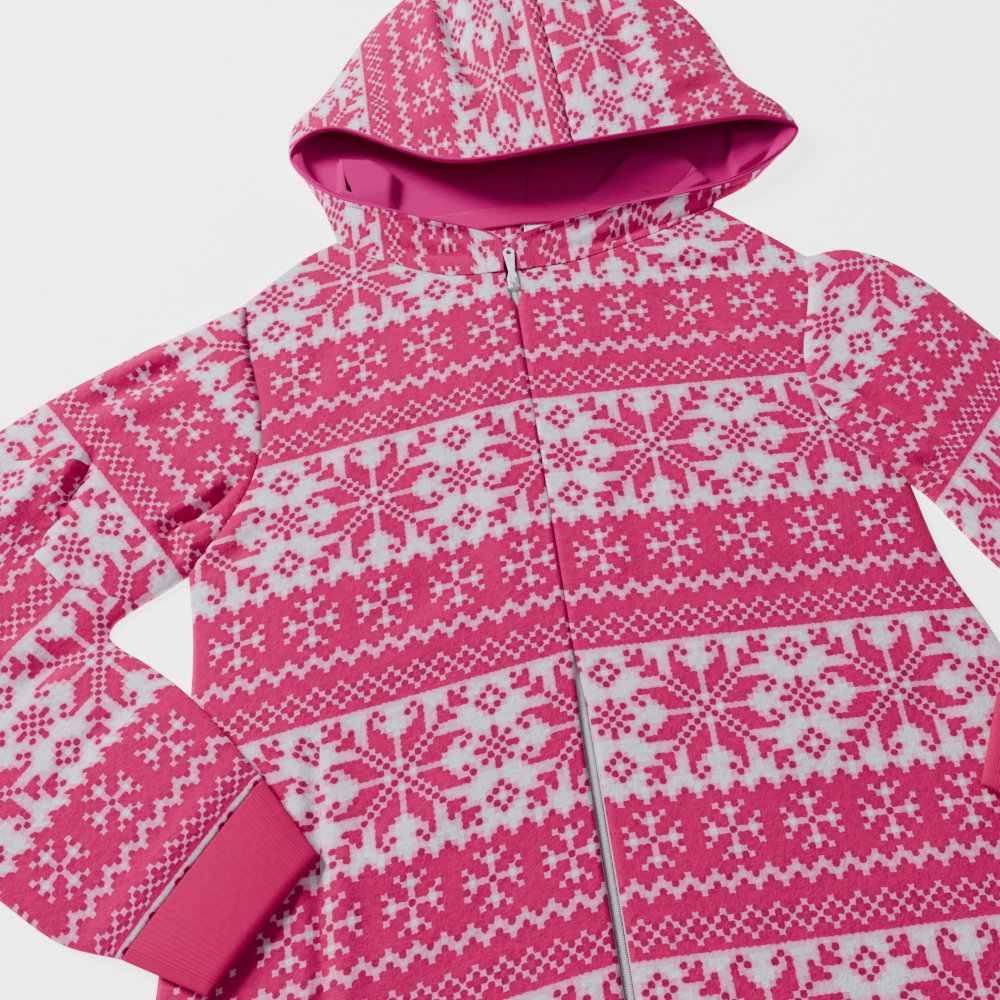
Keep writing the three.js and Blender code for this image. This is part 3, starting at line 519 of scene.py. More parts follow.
class Pattern:
    """The garment's cut as it lies, panel by panel."""

    def neck(self, side: Side, a: np.ndarray) -> np.ndarray:
        """The neck seam from the zip (0) round to the middle of the back (1)."""
        return along(np.array([row[0] for row in HOOD[side]], float), a)

    def armhole(self, side: Side, q: np.ndarray) -> np.ndarray:
        """The armhole seam from the shoulder (0) to the armpit (1)."""
        tip, pit = (np.array([*p, 0.0]) for p in (SHOULDER[side][2], ARMPIT[side]))
        points = tip + (pit - tip) * q[:, None]
        points[:, 0] += ARMHOLE_BOW[side] * bow_share(q)
        points[:, 2] = CENTRE_Z + np.maximum(FLEECE + 0.3, SLEEVE_PUFF * dome(2 * q - 1))
        return points

    def top_edge(self, side: Side, share: np.ndarray, front: bool) -> np.ndarray:
        """A panel's upper edge, along the neckline and out along the shoulder."""
        turn = np.minimum(share / NECK_SHARE, 1)
        neck = self.neck(side, turn / 2 if front else 1 - turn / 2)
        if not front:
            neck[:, 2] = CENTRE_Z
        out = np.maximum(0, (share - NECK_SHARE) / (1 - NECK_SHARE))
        line = np.array([[*p, 0.0] for p in SHOULDER[side]])
        shoulder = along(line, out)
        shoulder[:, 2] = EDGE_Z if front else CENTRE_Z
        return np.where((share <= NECK_SHARE)[:, None], neck, shoulder)

    def rails(self, side: Side, t: np.ndarray) -> tuple[np.ndarray, np.ndarray]:
        """The inner and outer edges of the body below the armpit."""
        inner = [(0, PIT_Y, 0)] + [(side.sign * row.centre, row.y, 0) for row in BODY]
        outer = [(*ARMPIT[side], 0)] + [(*getattr(row, side.value), 0) for row in BODY]
        return along(np.array(inner, float), t), along(np.array(outer, float), t)

    def zip_opening(self, y: np.ndarray) -> np.ndarray:
        """Half the space between the two front edges: the cloth meets above and parts below."""
        places = [-ZIP_LENGTH - 20, -ZIP_LENGTH + 10, MEETING_END - 60, MEETING_END, -32, -18]
        widths = [0.1, 4.0, 4.0, 0.15, 0.15, 5.2]
        return np.interp(y, places, widths)

    def panel(self, side: Side, front: bool, rows: tuple[int, int, int], columns: int) -> Cloth:
        """A front or back panel with its leg.

        Args:
            side: left or right half.
            front: the upper layer, or the back that it lies on.
            rows: how many rows beside the armhole, down to the hips and down the leg.
            columns: how many columns from the centre to the side.
        """
        q = np.linspace(0, 1, rows[0])
        hips = np.linspace(0, 0.45, rows[1] + 1)[1:]
        leg = np.linspace(0.45, 1, rows[2] + 1)[1:]
        leg_inner, leg_outer = self.rails(side, np.concatenate([hips, leg]))
        head = self.top_edge(side, np.array([0.0]), front)[0]
        arm_inner = np.zeros((len(q), 3))
        arm_inner[:, 1] = head[1] + (PIT_Y - head[1]) * q
        inner = np.concatenate([arm_inner, leg_inner])
        outer = np.concatenate([self.armhole(side, q), leg_outer])
        top = np.concatenate([(1 - q) ** 2, np.zeros(len(leg_inner))])[:, None]
        beside_arm = np.arange(len(inner)) < len(q)
        opening = self.zip_opening(inner[:, 1]) if front else np.full(len(inner), 0.1)
        lean = np.zeros(len(inner)) if front else head[0] * top[:, 0]
        close = side.sign * inner[:, 0] <= opening
        inner[:, 0] = np.where(close, side.sign * opening + lean, inner[:, 0])

        share = np.linspace(0, 1, columns) ** 0.94
        edge = self.top_edge(side, share, front)
        points = inner[:, None] + (outer - inner)[:, None] * share[None, :, None]
        tip = self.armhole(side, np.array([0.0]))[0]
        plain_x = inner[:, :1] + (tip[0] - inner[:, :1]) * share
        plain_y = head[1] + (tip[1] - head[1]) * share
        points[..., 0] += (edge[:, 0] - plain_x) * top * (share > 0)
        points[..., 1] += (edge[:, 1] - plain_y) * top
        x, y = points[..., 0], points[..., 1]
        if front:
            side_z = np.where(beside_arm, outer[:, 2], EDGE_Z)[:, None]
            points[..., 2] = self.front_height(points, share, side_z, top, edge[:, 2], beside_arm)
        else:
            wave = slack(x, y, 4.0) + 0.5 * crease_rise(CREASES, x, y) * np.sin(np.pi * share)
            points[..., 2] = CENTRE_Z + np.clip(wave, 0, 0.8) * np.sin(np.pi * share)
        chart = PRINT["body_" + side.value].chart(x, y)
        if not front or side is Side.RIGHT:
            return Cloth(points, chart, FLEECE, flip=side is Side.LEFT)
        beyond = chart.copy()
        beyond[..., 0] -= FOLDED_AWAY * smoothstep(-y, 366, 430)
        depth = np.where(y < -366, np.interp(-y, (366, 460, 560), (-181, -187, -190)) - x, -1.0)
        return Cloth(points, chart, FLEECE, flip=True, beyond=beyond, depth=depth)

    def front_height(
        self,
        points: np.ndarray,
        share: np.ndarray,
        side_z: np.ndarray,
        top: np.ndarray,
        edge_z: np.ndarray,
        beside_arm: np.ndarray,
    ) -> np.ndarray:
        """The upper layer's height: full at the zip, falling to the side and the shoulder."""
        x, y = points[..., 0], points[..., 1]
        inseam = smoothstep(y, CROTCH_Y - 40, CROTCH_Y + 120)
        centre_z = EDGE_Z + (ZIP_HEIGHT - EDGE_Z) * inseam
        tube = dome(2 * share - 1) * SLEEVE_PUFF
        below = EDGE_Z + tube + ((centre_z - EDGE_Z) * dome(share) - tube) * inseam
        beside = side_z + (ZIP_HEIGHT - side_z) * dome(share)
        across = np.where(beside_arm[:, None], beside, below)
        settled = across + (edge_z - across) * top
        open_side = np.sin(np.pi * share) + (1 - np.sin(np.pi * share)) * inseam
        free = np.minimum(1, 2.2 * np.sin(np.pi * share) * (1 - top) * open_side)
        seam_dip = 1.4 * np.exp(-(((1 - share) * 260 / 5) ** 2)) * beside_arm[:, None]
        neck_dip = 0.5 * np.exp(-((top - 1) ** 2) / 0.004) * (share < NECK_SHARE)
        lifted = crease_rise(CREASES, x, y) + slack(x, y, 1.0 + points[0, -1, 0])
        height = settled + lifted * free - seam_dip - neck_dip
        return np.maximum(height, np.minimum(settled, EDGE_Z))

    def forearm_chart(self, x: np.ndarray, y: np.ndarray) -> tuple[np.ndarray, np.ndarray]:
        """The left sleeve's chart below the elbow's tuck, and how far past the tuck it is."""
        upper_arm = np.array([*ELBOW_BREAK, (200, -262), (200, 600), (-900, 600)], float)
        chart = PRINT["forearm_left"].chart(x, y)
        chart[..., 1] -= 6 * smoothstep(-chart[..., 1], 20, 32)
        return chart, -depth_inside(upper_arm, x, y)

    def tube(
        self,
        under: np.ndarray,
        top: np.ndarray,
        bow: np.ndarray,
        puff: np.ndarray,
        thick: float,
        half: int,
    ) -> tuple[np.ndarray, np.ndarray]:
        """A flattened tube between two folded edges.

        Args:
            under: a point of the lower folded edge for each row; its height is the layer's.
            top: the same for the other edge.
            bow: how far each row bows sideways, mm.
            puff: how far its upper layer stands off, mm.
            thick: cloth thickness, mm.
            half: columns from fold to fold on one layer.

        Returns:
            The grid, and each column's place across from -1 to 1.
        """
        turn = np.cos(np.pi * np.linspace(0, 1, half + 1))
        across = np.sign(turn) * np.abs(turn) ** (2 / DOME)
        x = np.concatenate([across, across[1:-1][::-1]])
        upper = np.arange(len(x)) <= half
        q = (1 - x) / 2
        grid = top[:, None] + (under - top)[:, None] * q[None, :, None]
        grid[..., 0] += bow[:, None] * bow_share(q)
        grid[..., 2] += thick / 2 + puff[:, None] * dome(x) * upper
        return grid, x

    def sleeve(self, side: Side, rows: int, half: int) -> Cloth:
        """A sleeve from the armhole to the wrist."""
        table = SLEEVE[side]
        t = np.linspace(0, 1, rows)
        under, top = (
            along(np.array([[*getattr(s, rail), getattr(s, rail + "_z")] for s in table]), t)
            for rail in ("under", "top")
        )
        under[:, 2], top[:, 2] = np.maximum(0, under[:, 2]), np.maximum(0, top[:, 2])
        bow = np.interp(t * (len(table) - 1), np.arange(len(table)), [s.bow for s in table])
        puff = SLEEVE_PUFF + (CUFF_PUFF - SLEEVE_PUFF) * smoothstep(t, 0.8, 1)
        puff += 3.2 * np.exp(-(((t - 0.955) / 0.03) ** 2))
        grid, x = self.tube(under, top, bow, puff, FLEECE, half)
        upper = np.arange(len(x)) <= half
        ends = smoothstep(t, 0, 0.1) * smoothstep(1 - t, 0, 0.04)
        lifted = crease_rise(CREASES, grid[..., 0], grid[..., 1])
        lifted += slack(grid[..., 0], grid[..., 1], 3.0 + side.sign)
        grid[..., 2] += lifted * ends[:, None] * dome(x) * upper
        seam_dip = 1.4 * np.exp(-((t / 0.012) ** 2))
        grid[..., 2] -= seam_dip[:, None] * dome(x) * upper
        floor = top[:, None, 2] + (under - top)[:, None, 2] * (1 - x) / 2 + CENTRE_Z
        lowest = floor + np.minimum(puff[:, None] * dome(x), FLEECE + 0.3)
        grid[..., 2] = np.where(upper, np.maximum(grid[..., 2], lowest), grid[..., 2])
        chart = PRINT["arm_" + side.value].chart(grid[..., 0], grid[..., 1])
        beyond = depth = None
        if side is Side.LEFT:
            beyond, depth = self.forearm_chart(grid[..., 0], grid[..., 1])
            beyond[..., 1] += 2.2 * smoothstep(t, 0.965, 1)[:, None]
        back = grid[0] - grid[2]
        grid[0] += back / np.linalg.norm(back, axis=1, keepdims=True) * 3.0 * upper[:, None]
        grid[0, :, 2] -= 1.2 * dome(x) * upper
        return Cloth(grid, chart, FLEECE, tube=True, beyond=beyond, depth=depth)

    def cuff(self, start: SleeveSection, end: SleeveSection, ribs: int, rows: int) -> Cloth:
        """A rib cuff that narrows from its seam to its turned-under edge."""
        t = np.linspace(0, 1, rows)
        ends = [
            [np.array([*getattr(s, rail), getattr(s, rail + "_z")]) for s in (start, end)]
            for rail in ("under", "top")
        ]
        under, top = (first + (last - first) * t[:, None] for first, last in ends)
        turned = 1 - 0.45 * smoothstep(t, 0.9, 1) ** 2
        puff = CUFF_PUFF * turned * (1 + 0.25 * np.sin(np.pi * t))
        points_per_rib = 6
        half = ribs * points_per_rib // 2
        grid, x = self.tube(under, top, np.zeros(rows), puff, RIB, half)
        rib = np.cos(2 * np.pi * np.arange(len(x)) / points_per_rib)
        depth = 0.17 * smoothstep(t, 0, 0.04) * (1 - 0.5 * smoothstep(t, 0.93, 1))
        grid += grid_normals(grid, True) * (rib * depth[:, None])[..., None]
        chart = np.stack([np.broadcast_to(x * ribs / 2, grid.shape[:2]), t[:, None] * 30 + 0 * x],
                         axis=-1)
        return Cloth(grid, chart, RIB, tube=True)

    def hood(self, side: Side, a: np.ndarray, b: np.ndarray) -> Cloth:
        """Half of the hood, from its rim (a 0) to the back and from neck to top seam (b)."""
        sections = along(np.array(HOOD[side], float), a)
        grid = along(sections.transpose(1, 0, 2), b).transpose(1, 0, 2)
        over = np.sin(np.pi * np.clip((b - 0.62) / 0.38, 0, 1)) ** 0.7
        fade = smoothstep(a, 0.0, 0.2)[:, None] * over
        lifted = crease_rise(HOOD_CREASES, grid[..., 0], grid[..., 1])
        lifted += 1.4 * slack(grid[..., 0], grid[..., 1], 6.0)
        grid[..., 2] += lifted * fade
        band = np.sin(np.pi * np.clip(b / 0.26, 0, 1)) * (1 - smoothstep(a, 0.25, 0.42))[:, None]
        grid[..., 2] += crease_rise(BAND_CREASES, grid[..., 0], grid[..., 1]) * band
        seam_dip = 1.8 * np.exp(-(((1 - b) * 7 / 0.07) ** 2))
        grid[..., 2] -= seam_dip * smoothstep(a, 0, 0.06)[:, None]
        chart = PRINT["hood_" + side.value].chart(grid[..., 0], grid[..., 1])
        return Cloth(grid, chart, FLEECE, flip=side is Side.RIGHT)

    def lining(self, side: Side, a: np.ndarray, b: np.ndarray) -> Cloth:
        """The lining of a hood half: the half's own points moved inwards."""
        outer = self.hood(side, a, b)
        near_neck = 1 - smoothstep(b, 0.25, 0.5)
        at_fold = np.exp(-(((b - HOOD_FOLD_B) / 0.09) ** 2))
        in_plan = HOOD_MIDDLE - outer.grid * (1, 1, 0)
        in_plan /= np.linalg.norm(in_plan, axis=-1, keepdims=True)
        inside = FLEECE / 2 + LINING_GAP + LINING / 2
        grid = outer.grid - outer.normals * inside
        crowded = np.exp(-(((a - 0.44) / 0.16) ** 2))[:, None] * near_neck
        drawn = smoothstep(a, 0.0, 0.12)[:, None]
        retreat = (LINING_AT_FOLD * at_fold + near_neck) * drawn + LINING_CROWDED * crowded
        grid += in_plan * retreat[..., None]
        grid[..., 2] = np.maximum(grid[..., 2], FLEECE + LINING_GAP + LINING / 2)
        x, y = grid[..., 0], grid[..., 1]
        lower = smoothstep(b, 0.0, 0.1) * (1 - smoothstep(b, 0.44, 0.52))
        for corners, level in LINING_FOLDS:
            heap = smoothstep(depth_inside(np.array(corners, float), x, y), -1.0, 3.5)
            grid[..., 2] += np.maximum(0, level - grid[..., 2]) * heap * lower
        deep = lower * smoothstep(a, 0.3, 0.45)[:, None]
        grid[..., 2] += np.maximum(0, 1.2 * slack(x, y, 8.0)) * deep
        return Cloth(grid, outer.chart, LINING, flip=outer.flip is False)

    def neck_tape(self) -> Cloth:
        """The tape over the back neck seam."""
        turns = np.linspace(0.7, 1, 40)
        line = np.concatenate([self.neck(Side.LEFT, turns), self.neck(Side.RIGHT, turns[::-1])[1:]])
        across = np.linspace(-NECK_TAPE_HALF, NECK_TAPE_HALF, 9)
        grid = np.repeat(line[:, None], len(across), axis=1)
        grid[..., 1] += across
        grid[..., 2] = NECK_TAPE_Z + 0.25 * np.cos(np.pi * across / NECK_TAPE_HALF / 2)
        chart = np.stack(np.meshgrid(across, np.arange(len(line)) * 1.0), axis=-1)
        return Cloth(grid, chart, LINING, flip=False)


class Workshop:
    """Makes mesh pieces in the frame from millimetre geometry and puts them on their bodies."""

    def __init__(self) -> None:
        low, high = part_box("zip_coil")
        top_of_zip = Vector(((low.x + high.x) / 2, high.y - ZIP_TOP * MM, 0))
        self.shift = np.array(top_of_zip)

    def place(self, points: np.ndarray) -> np.ndarray:
        """Millimetre points of the garment as metres in the frame."""
        return np.asarray(points, float).reshape(-1, 3) * MM + self.shift

    def mesh(self, name: str, points: np.ndarray, faces: np.ndarray) -> bpy.types.Object:
        """A mesh object of quads from millimetre points.

        Args:
            name: the piece's name.
            points: any array whose last axis is x, y and z, mm.
            faces: quads as rows of four point numbers.
        """
        data = bpy.data.meshes.new(name)
        data.from_pydata(self.place(points).tolist(), [], np.asarray(faces).tolist())
        data.validate()
        data.shade_smooth()
        made = bpy.data.objects.new(name, data)
        bpy.context.scene.collection.objects.link(made)
        return made

    def shell(self, name: str, cloth: Cloth, outer: np.ndarray | None = None) -> bpy.types.Object:
        """A closed thin shell of cloth with the chart as its UV map.

        Args:
            name: the piece's name.
            cloth: the grid, chart and thickness.
            outer: its outer side, where that is more than half a thickness from the middle.
        """
        face = cloth.face() if outer is None else outer
        back = cloth.face(-1)
        rows, columns = face.shape[:2]
        number = np.arange(2 * rows * columns).reshape(2, rows, columns)
        if cloth.tube:
            number = np.concatenate([number, number[:, :, :1]], axis=2)
        if cloth.flip:
            number = number[:, :, ::-1]
        lower_left, lower_right = number[:, :-1, :-1], number[:, :-1, 1:]
        upper_left, upper_right = number[:, 1:, :-1], number[:, 1:, 1:]
        quads = [
            np.stack([lower_left[0], lower_right[0], upper_right[0], upper_left[0]], -1),
            np.stack([lower_left[1], upper_left[1], upper_right[1], lower_right[1]], -1),
        ]
        for row, near, far in ((0, 0, 1), (-1, 1, 0)):
            line = number[:, row]
            quads.append(np.stack([line[near, 1:], line[near, :-1], line[far, :-1], line[far, 1:]],
                                  -1))
        if not cloth.tube:
            for column, near, far in ((0, 1, 0), (-1, 0, 1)):
                line = number[:, :, column]
                quads.append(np.stack([line[near, 1:], line[near, :-1], line[far, :-1],
                                       line[far, 1:]], -1))
        faces = np.concatenate([q.reshape(-1, 4) for q in quads])
        layers = np.stack([face, back])
        layers[..., 2] = np.maximum(layers[..., 2], 0)
        made = self.mesh(name, layers, faces)
        layers = {"Chart": cloth.chart}
        if cloth.beyond is not None:
            layers["Beyond"] = cloth.beyond
            layers["Depth"] = np.stack([cloth.depth, cloth.depth], axis=-1)
        corner_points = np.zeros(len(made.data.loops), int)
        made.data.loops.foreach_get("vertex_index", corner_points)
        for title, values in layers.items():
            layer = made.data.uv_layers.new(name=title)
            both = np.concatenate([values.reshape(-1, 2)] * 2)
            layer.data.foreach_set("uv", both[corner_points].astype(np.float32).ravel())
        return made

    def rods(self, name: str, starts: np.ndarray, ends: np.ndarray, radius: float,
             lift: np.ndarray) -> bpy.types.Object:
        """Short rounded rods, such as stitches.

        Args:
            name: the piece's name.
            starts: one point for each rod, mm.
            ends: the other end of each rod, mm.
            radius: rod radius, mm.
            lift: unit vector away from the cloth for each rod.
        """
        sides, profile = 6, np.array([(0.0, 0.25), (0.12, 0.85), (0.5, 1.15), (0.88, 0.85),
                                      (1.0, 0.25)])
        axis = ends - starts
        across = np.cross(axis, lift)
        across /= np.linalg.norm(across, axis=1, keepdims=True)
        turn = 2 * np.pi * np.arange(sides) / sides
        ring = across[:, None] * np.cos(turn)[None, :, None]
        ring = ring + lift[:, None] * np.sin(turn)[None, :, None] * 0.8
        points = (
            starts[:, None, None]
            + axis[:, None, None] * profile[None, :, 0, None, None]
            + ring[:, None] * (profile[None, :, 1, None, None] * radius)
        )
        count, stations = len(starts), len(profile)
        number = np.arange(count * stations * sides).reshape(count, stations, sides)
        wrapped = np.concatenate([number, number[:, :, :1]], axis=2)
        body = np.stack([wrapped[:, :-1, :-1], wrapped[:, 1:, :-1], wrapped[:, 1:, 1:],
                         wrapped[:, :-1, 1:]], -1).reshape(-1, 4)
        caps = []
        for station, order in ((0, (0, 1, 2, 3, 4, 5)), (-1, (5, 4, 3, 2, 1, 0))):
            ring_numbers = number[:, station][:, list(order)]
            caps += [ring_numbers[:, [0, 1, 2, 3]], ring_numbers[:, [0, 3, 4, 5]]]
        return self.mesh(name, points, np.concatenate([body, *caps]))

    def stitches(self, name: str, line: np.ndarray, normals: np.ndarray) -> bpy.types.Object:
        """A row of topstitches along a line on cloth."""
        pitch, length, radius = 3.4, 2.6, 0.42
        distance = arc_lengths(line, 0)
        starts_at = np.arange(0, distance[-1] - pitch, pitch)

        def at(values: np.ndarray, places: np.ndarray) -> np.ndarray:
            return np.stack([np.interp(places, distance, values[:, k]) for k in range(3)], -1)

        lift = at(normals, starts_at)
        lift /= np.linalg.norm(lift, axis=1, keepdims=True)
        sunk = lift * 0.1
        return self.rods(name, at(line, starts_at) + sunk, at(line, starts_at + length) + sunk,
                         radius, lift)

    def finish_piece(self, made: bpy.types.Object, material: bpy.types.Material, slot: str,
                     replaces: tuple[str, ...] = (), body: str = "garment") -> bpy.types.Object:
        """Gives a piece its material and puts it on its body."""
        made.data.materials.append(material)
        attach(made, body)
        if replaces:
            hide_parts(*replaces)
        return made


class Graph:
    """Writes the nodes of one tree."""

    def __init__(self, tree: bpy.types.NodeTree) -> None:
        self.tree = tree

    def node(self, kind: str, inputs: dict | None = None, **settings) -> bpy.types.Node:
        """Adds a node, sets its properties and links or fills its inputs."""
        made = self.tree.nodes.new(kind)
        for name, value in settings.items():
            setattr(made, name, value)
        for name, value in (inputs or {}).items():
            self.feed(made.inputs[name], value)
        return made

    def feed(self, socket: bpy.types.NodeSocket, value) -> None:
        """Links a socket to another, or gives it a plain value."""
        if isinstance(value, bpy.types.NodeSocket):
            self.tree.links.new(value, socket)
        else:
            socket.default_value = value

    def math(self, operation: str, *values) -> bpy.types.NodeSocket:
        """A number worked out from one to three others."""
        return self.node("ShaderNodeMath", dict(enumerate(values)), operation=operation).outputs[0]

    def vector(self, operation: str, *values) -> bpy.types.NodeSocket:
        """A vector worked out from one or two others."""
        return self.node("ShaderNodeVectorMath", dict(enumerate(values)),
                         operation=operation).outputs[0]

    def ramp(self, value, low: float, high: float) -> bpy.types.NodeSocket:
        """Zero below low, one above high, and an S between."""
        made = self.node("ShaderNodeMapRange", {"Value": value, "From Min": low,
                                                "From Max": high}, interpolation_type="SMOOTHSTEP")
        return made.outputs[0]

    def mix(self, share, first, second, kind: str = "RGBA") -> bpy.types.NodeSocket:
        """A colour or number between two others."""
        made = self.node("ShaderNodeMix", data_type=kind)
        ends = [s for s in made.inputs if s.enabled and s.name in ("A", "B")]
        self.feed(made.inputs["Factor"], share)
        for socket, value in zip(ends, (first, second)):
            self.feed(socket, value)
        return next(s for s in made.outputs if s.enabled)

    def steps(self, factor, colours: list[tuple[float, float, float]]) -> bpy.types.Node:
        """A ramp of plain steps, one for each colour."""
        made = self.node("ShaderNodeValToRGB", {"Fac": factor})
        ramp = made.color_ramp
        ramp.interpolation = "CONSTANT"
        while len(ramp.elements) < len(colours):
            ramp.elements.new(1.0)
        for k, colour in enumerate(colours):
            ramp.elements[k].position = k / len(colours)
            ramp.elements[k].color = (*colour, 1.0)
        return made


class NodeGroups:
    """Node groups that several materials share."""

    def __init__(self) -> None:
        self.lookup = self.chart_lookup()
        self.print = self.soft_print()
        self.nap = self.fleece_nap()
        self.knit = self.fine_knit()

    def new(self, name: str, inputs: dict[str, str], outputs: dict[str, str]) -> tuple:
        """An empty group with its sockets, a writer for it and its two end nodes."""
        tree = bpy.data.node_groups.new(name, "ShaderNodeTree")
        for socket, kind in inputs.items():
            tree.interface.new_socket(socket, in_out="INPUT", socket_type="NodeSocket" + kind)
        for socket, kind in outputs.items():
            tree.interface.new_socket(socket, in_out="OUTPUT", socket_type="NodeSocket" + kind)
        graph = Graph(tree)
        return tree, graph, graph.node("NodeGroupInput"), graph.node("NodeGroupOutput")

    @staticmethod
    def mask(letters: str) -> float:
        """A row's X letters as the bits of a number, shared out over 256."""
        return sum(2**k for k, letter in enumerate(letters) if letter == "X") / 256

    def bit(self, graph: Graph, mask, column) -> bpy.types.NodeSocket:
        """Whether the mask's bit for a column is set."""
        shifted = graph.math("DIVIDE", graph.math("MULTIPLY", mask, 256.0),
                             graph.math("POWER", 2.0, column))
        whole = graph.math("FLOOR", graph.math("ADD", shifted, 0.01))
        return graph.math("FLOORED_MODULO", whole, 2.0)

    def chart_lookup(self) -> bpy.types.NodeTree:
        """The printed chart at one stitch: 1 where it is magenta."""
        tree, graph, start, end = self.new("Chart stitch", {"Stitches": "Vector"},
                                           {"Magenta": "Float"})
        parts = graph.node("ShaderNodeSeparateXYZ", {0: start.outputs[0]})
        column, row = (graph.math("FLOOR", graph.math("ADD", parts.outputs[k], 0.5))
                       for k in (0, 1))
        row = graph.math("WRAP", row, REPEAT_ROWS - 12.0, -12.0)

        def folded(repeat: int) -> bpy.types.NodeSocket:
            return graph.math("ABSOLUTE", graph.math("WRAP", column, repeat / 2, -repeat / 2))

        star_column = folded(STAR_REPEAT)
        outer = graph.math("GREATER_THAN", star_column, 7.5)
        star_rows = [(self.mask(r[:8]), self.mask(r[8:]), 0.0) for r in STAR_BAND]
        place = graph.math("DIVIDE", graph.math("ADD", graph.math("ABSOLUTE", row), 0.5),
                           float(len(star_rows)))
        halves = graph.node("ShaderNodeSeparateColor",
                            {0: graph.steps(place, star_rows).outputs[0]})
        star_mask = graph.mix(outer, halves.outputs[0], halves.outputs[1], "FLOAT")
        within = graph.math("SUBTRACT", star_column, graph.math("MULTIPLY", outer, 8.0))
        star = self.bit(graph, star_mask, within)

        low_rows = [(self.mask(r), 0.0, 1.0 if len(r) > 3 else 0.0) for r in LOWER_BANDS]
        place = graph.math("DIVIDE", graph.math("SUBTRACT", row, 12.5), float(len(low_rows)))
        parts = graph.node("ShaderNodeSeparateColor",
                           {0: graph.steps(place, low_rows).outputs[0]})
        low_column = graph.mix(parts.outputs[2], folded(SMALL_REPEAT), folded(SNOW_REPEAT),
                               "FLOAT")
        low = self.bit(graph, parts.outputs[0], low_column)
        in_star = graph.math("LESS_THAN", row, 12.5)
        graph.feed(end.inputs[0], graph.mix(in_star, low, star, "FLOAT"))
        return tree

    def soft_print(self) -> bpy.types.NodeTree:
        """The chart as it prints on fleece: a round magenta spot for each stitch, set a little off.

        Magenta is where the spots reach, Halo runs out to a stitch from them, and Around is the
        share of the four next stitches that are magenta.
        """
        tree, graph, start, end = self.new(
            "Soft print", {"Stitches": "Vector", "Ragged": "Float"},
            {"Magenta": "Float", "Halo": "Float", "Around": "Float"})
        noise = graph.node("ShaderNodeTexNoise", {"Vector": start.outputs[0], "Scale": 1.7,
                                                  "Detail": 2.0})
        flat = graph.vector("MULTIPLY_ADD", noise.outputs["Color"], (1.0, 1.0, 0.0),
                            (-0.5, -0.5, 0.0))
        moved = graph.node("ShaderNodeVectorMath", {0: flat, "Scale": start.outputs[1]},
                           operation="SCALE").outputs[0]
        ragged = graph.vector("ADD", start.outputs[0], moved)
        corner = graph.vector("FLOOR", ragged)
        within = graph.vector("SUBTRACT", ragged, corner)

        def found(base, step: tuple[float, float]) -> bpy.types.NodeSocket:
            place = graph.vector("ADD", base, (*step, 0.0))
            return graph.node("ShaderNodeGroup", {0: place}, node_tree=self.lookup).outputs[0]

        spots, halo = 0.0, 0.0
        for step in ((0.0, 0.0), (1.0, 0.0), (0.0, 1.0), (1.0, 1.0)):
            away = graph.vector("SUBTRACT", within, (*step, 0.0))
            square = graph.node("ShaderNodeVectorMath", {0: away, 1: away},
                                operation="DOT_PRODUCT").outputs["Value"]
            near = graph.math("MAXIMUM", graph.math("SUBTRACT", 1.0, square), 0.0)
            stitch = found(corner, step)
            spots = graph.math("MULTIPLY_ADD", graph.math("POWER", near, 3.0), stitch, spots)
            halo = graph.math("MULTIPLY_ADD", near, stitch, halo)
        graph.feed(end.inputs[0], graph.ramp(spots, 0.2, 0.36))
        graph.feed(end.inputs[1], graph.ramp(halo, 0.0, 0.4))
        total = 0.0
        for step in ((-1.0, 0.0), (1.0, 0.0), (0.0, -1.0), (0.0, 1.0)):
            total = graph.math("ADD", total, found(ragged, step))
        graph.feed(end.inputs[2], graph.math("MULTIPLY", total, 0.25))
        return tree

    def fleece_nap(self) -> bpy.types.NodeTree:
        """Brushed fleece: short soft fibres that catch light unevenly."""
        tree, graph, start, end = self.new(
            "Fleece nap", {"Position": "Vector", "Fibre": "Float"},
            {"Shade": "Float", "Height": "Float"})
        tufts = graph.node("ShaderNodeTexNoise", {"Vector": start.outputs[0],
                                                  "Scale": start.outputs[1], "Detail": 4.0,
                                                  "Roughness": 0.65})
        pile = graph.node("ShaderNodeTexNoise", {"Vector": start.outputs[0], "Scale": 210.0,
                                                 "Detail": 3.0})
        low = graph.math("MULTIPLY", pile.outputs[0], 0.45)
        both = graph.math("MULTIPLY_ADD", tufts.outputs[0], 0.55, low)
        graph.feed(end.inputs[0], both)
        graph.feed(end.inputs[1], both)
        return tree

    def fine_knit(self) -> bpy.types.NodeTree:
        """The faint ribs of a fine smooth knit."""
        tree, graph, start, end = self.new(
            "Fine knit", {"Position": "Vector", "Loops": "Float"},
            {"Shade": "Float", "Height": "Float"})
        wave = graph.node("ShaderNodeTexWave", {"Vector": start.outputs[0],
                                                "Scale": start.outputs[1], "Distortion": 1.2,
                                                "Detail": 1.0}, bands_direction="X")
        cross = graph.node("ShaderNodeTexWave", {"Vector": start.outputs[0],
                                                 "Scale": start.outputs[1], "Distortion": 1.0},
                           bands_direction="Y")
        loops = graph.math("MULTIPLY", wave.outputs["Fac"], cross.outputs["Fac"])
        soft = graph.node("ShaderNodeTexNoise", {"Vector": start.outputs[0], "Scale": 260.0,
                                                 "Detail": 3.0})
        graph.feed(end.inputs[0], graph.math("MULTIPLY_ADD", soft.outputs[0], 0.7,
                                             graph.math("MULTIPLY", loops, 0.3)))
        graph.feed(end.inputs[1], loops)
        return tree


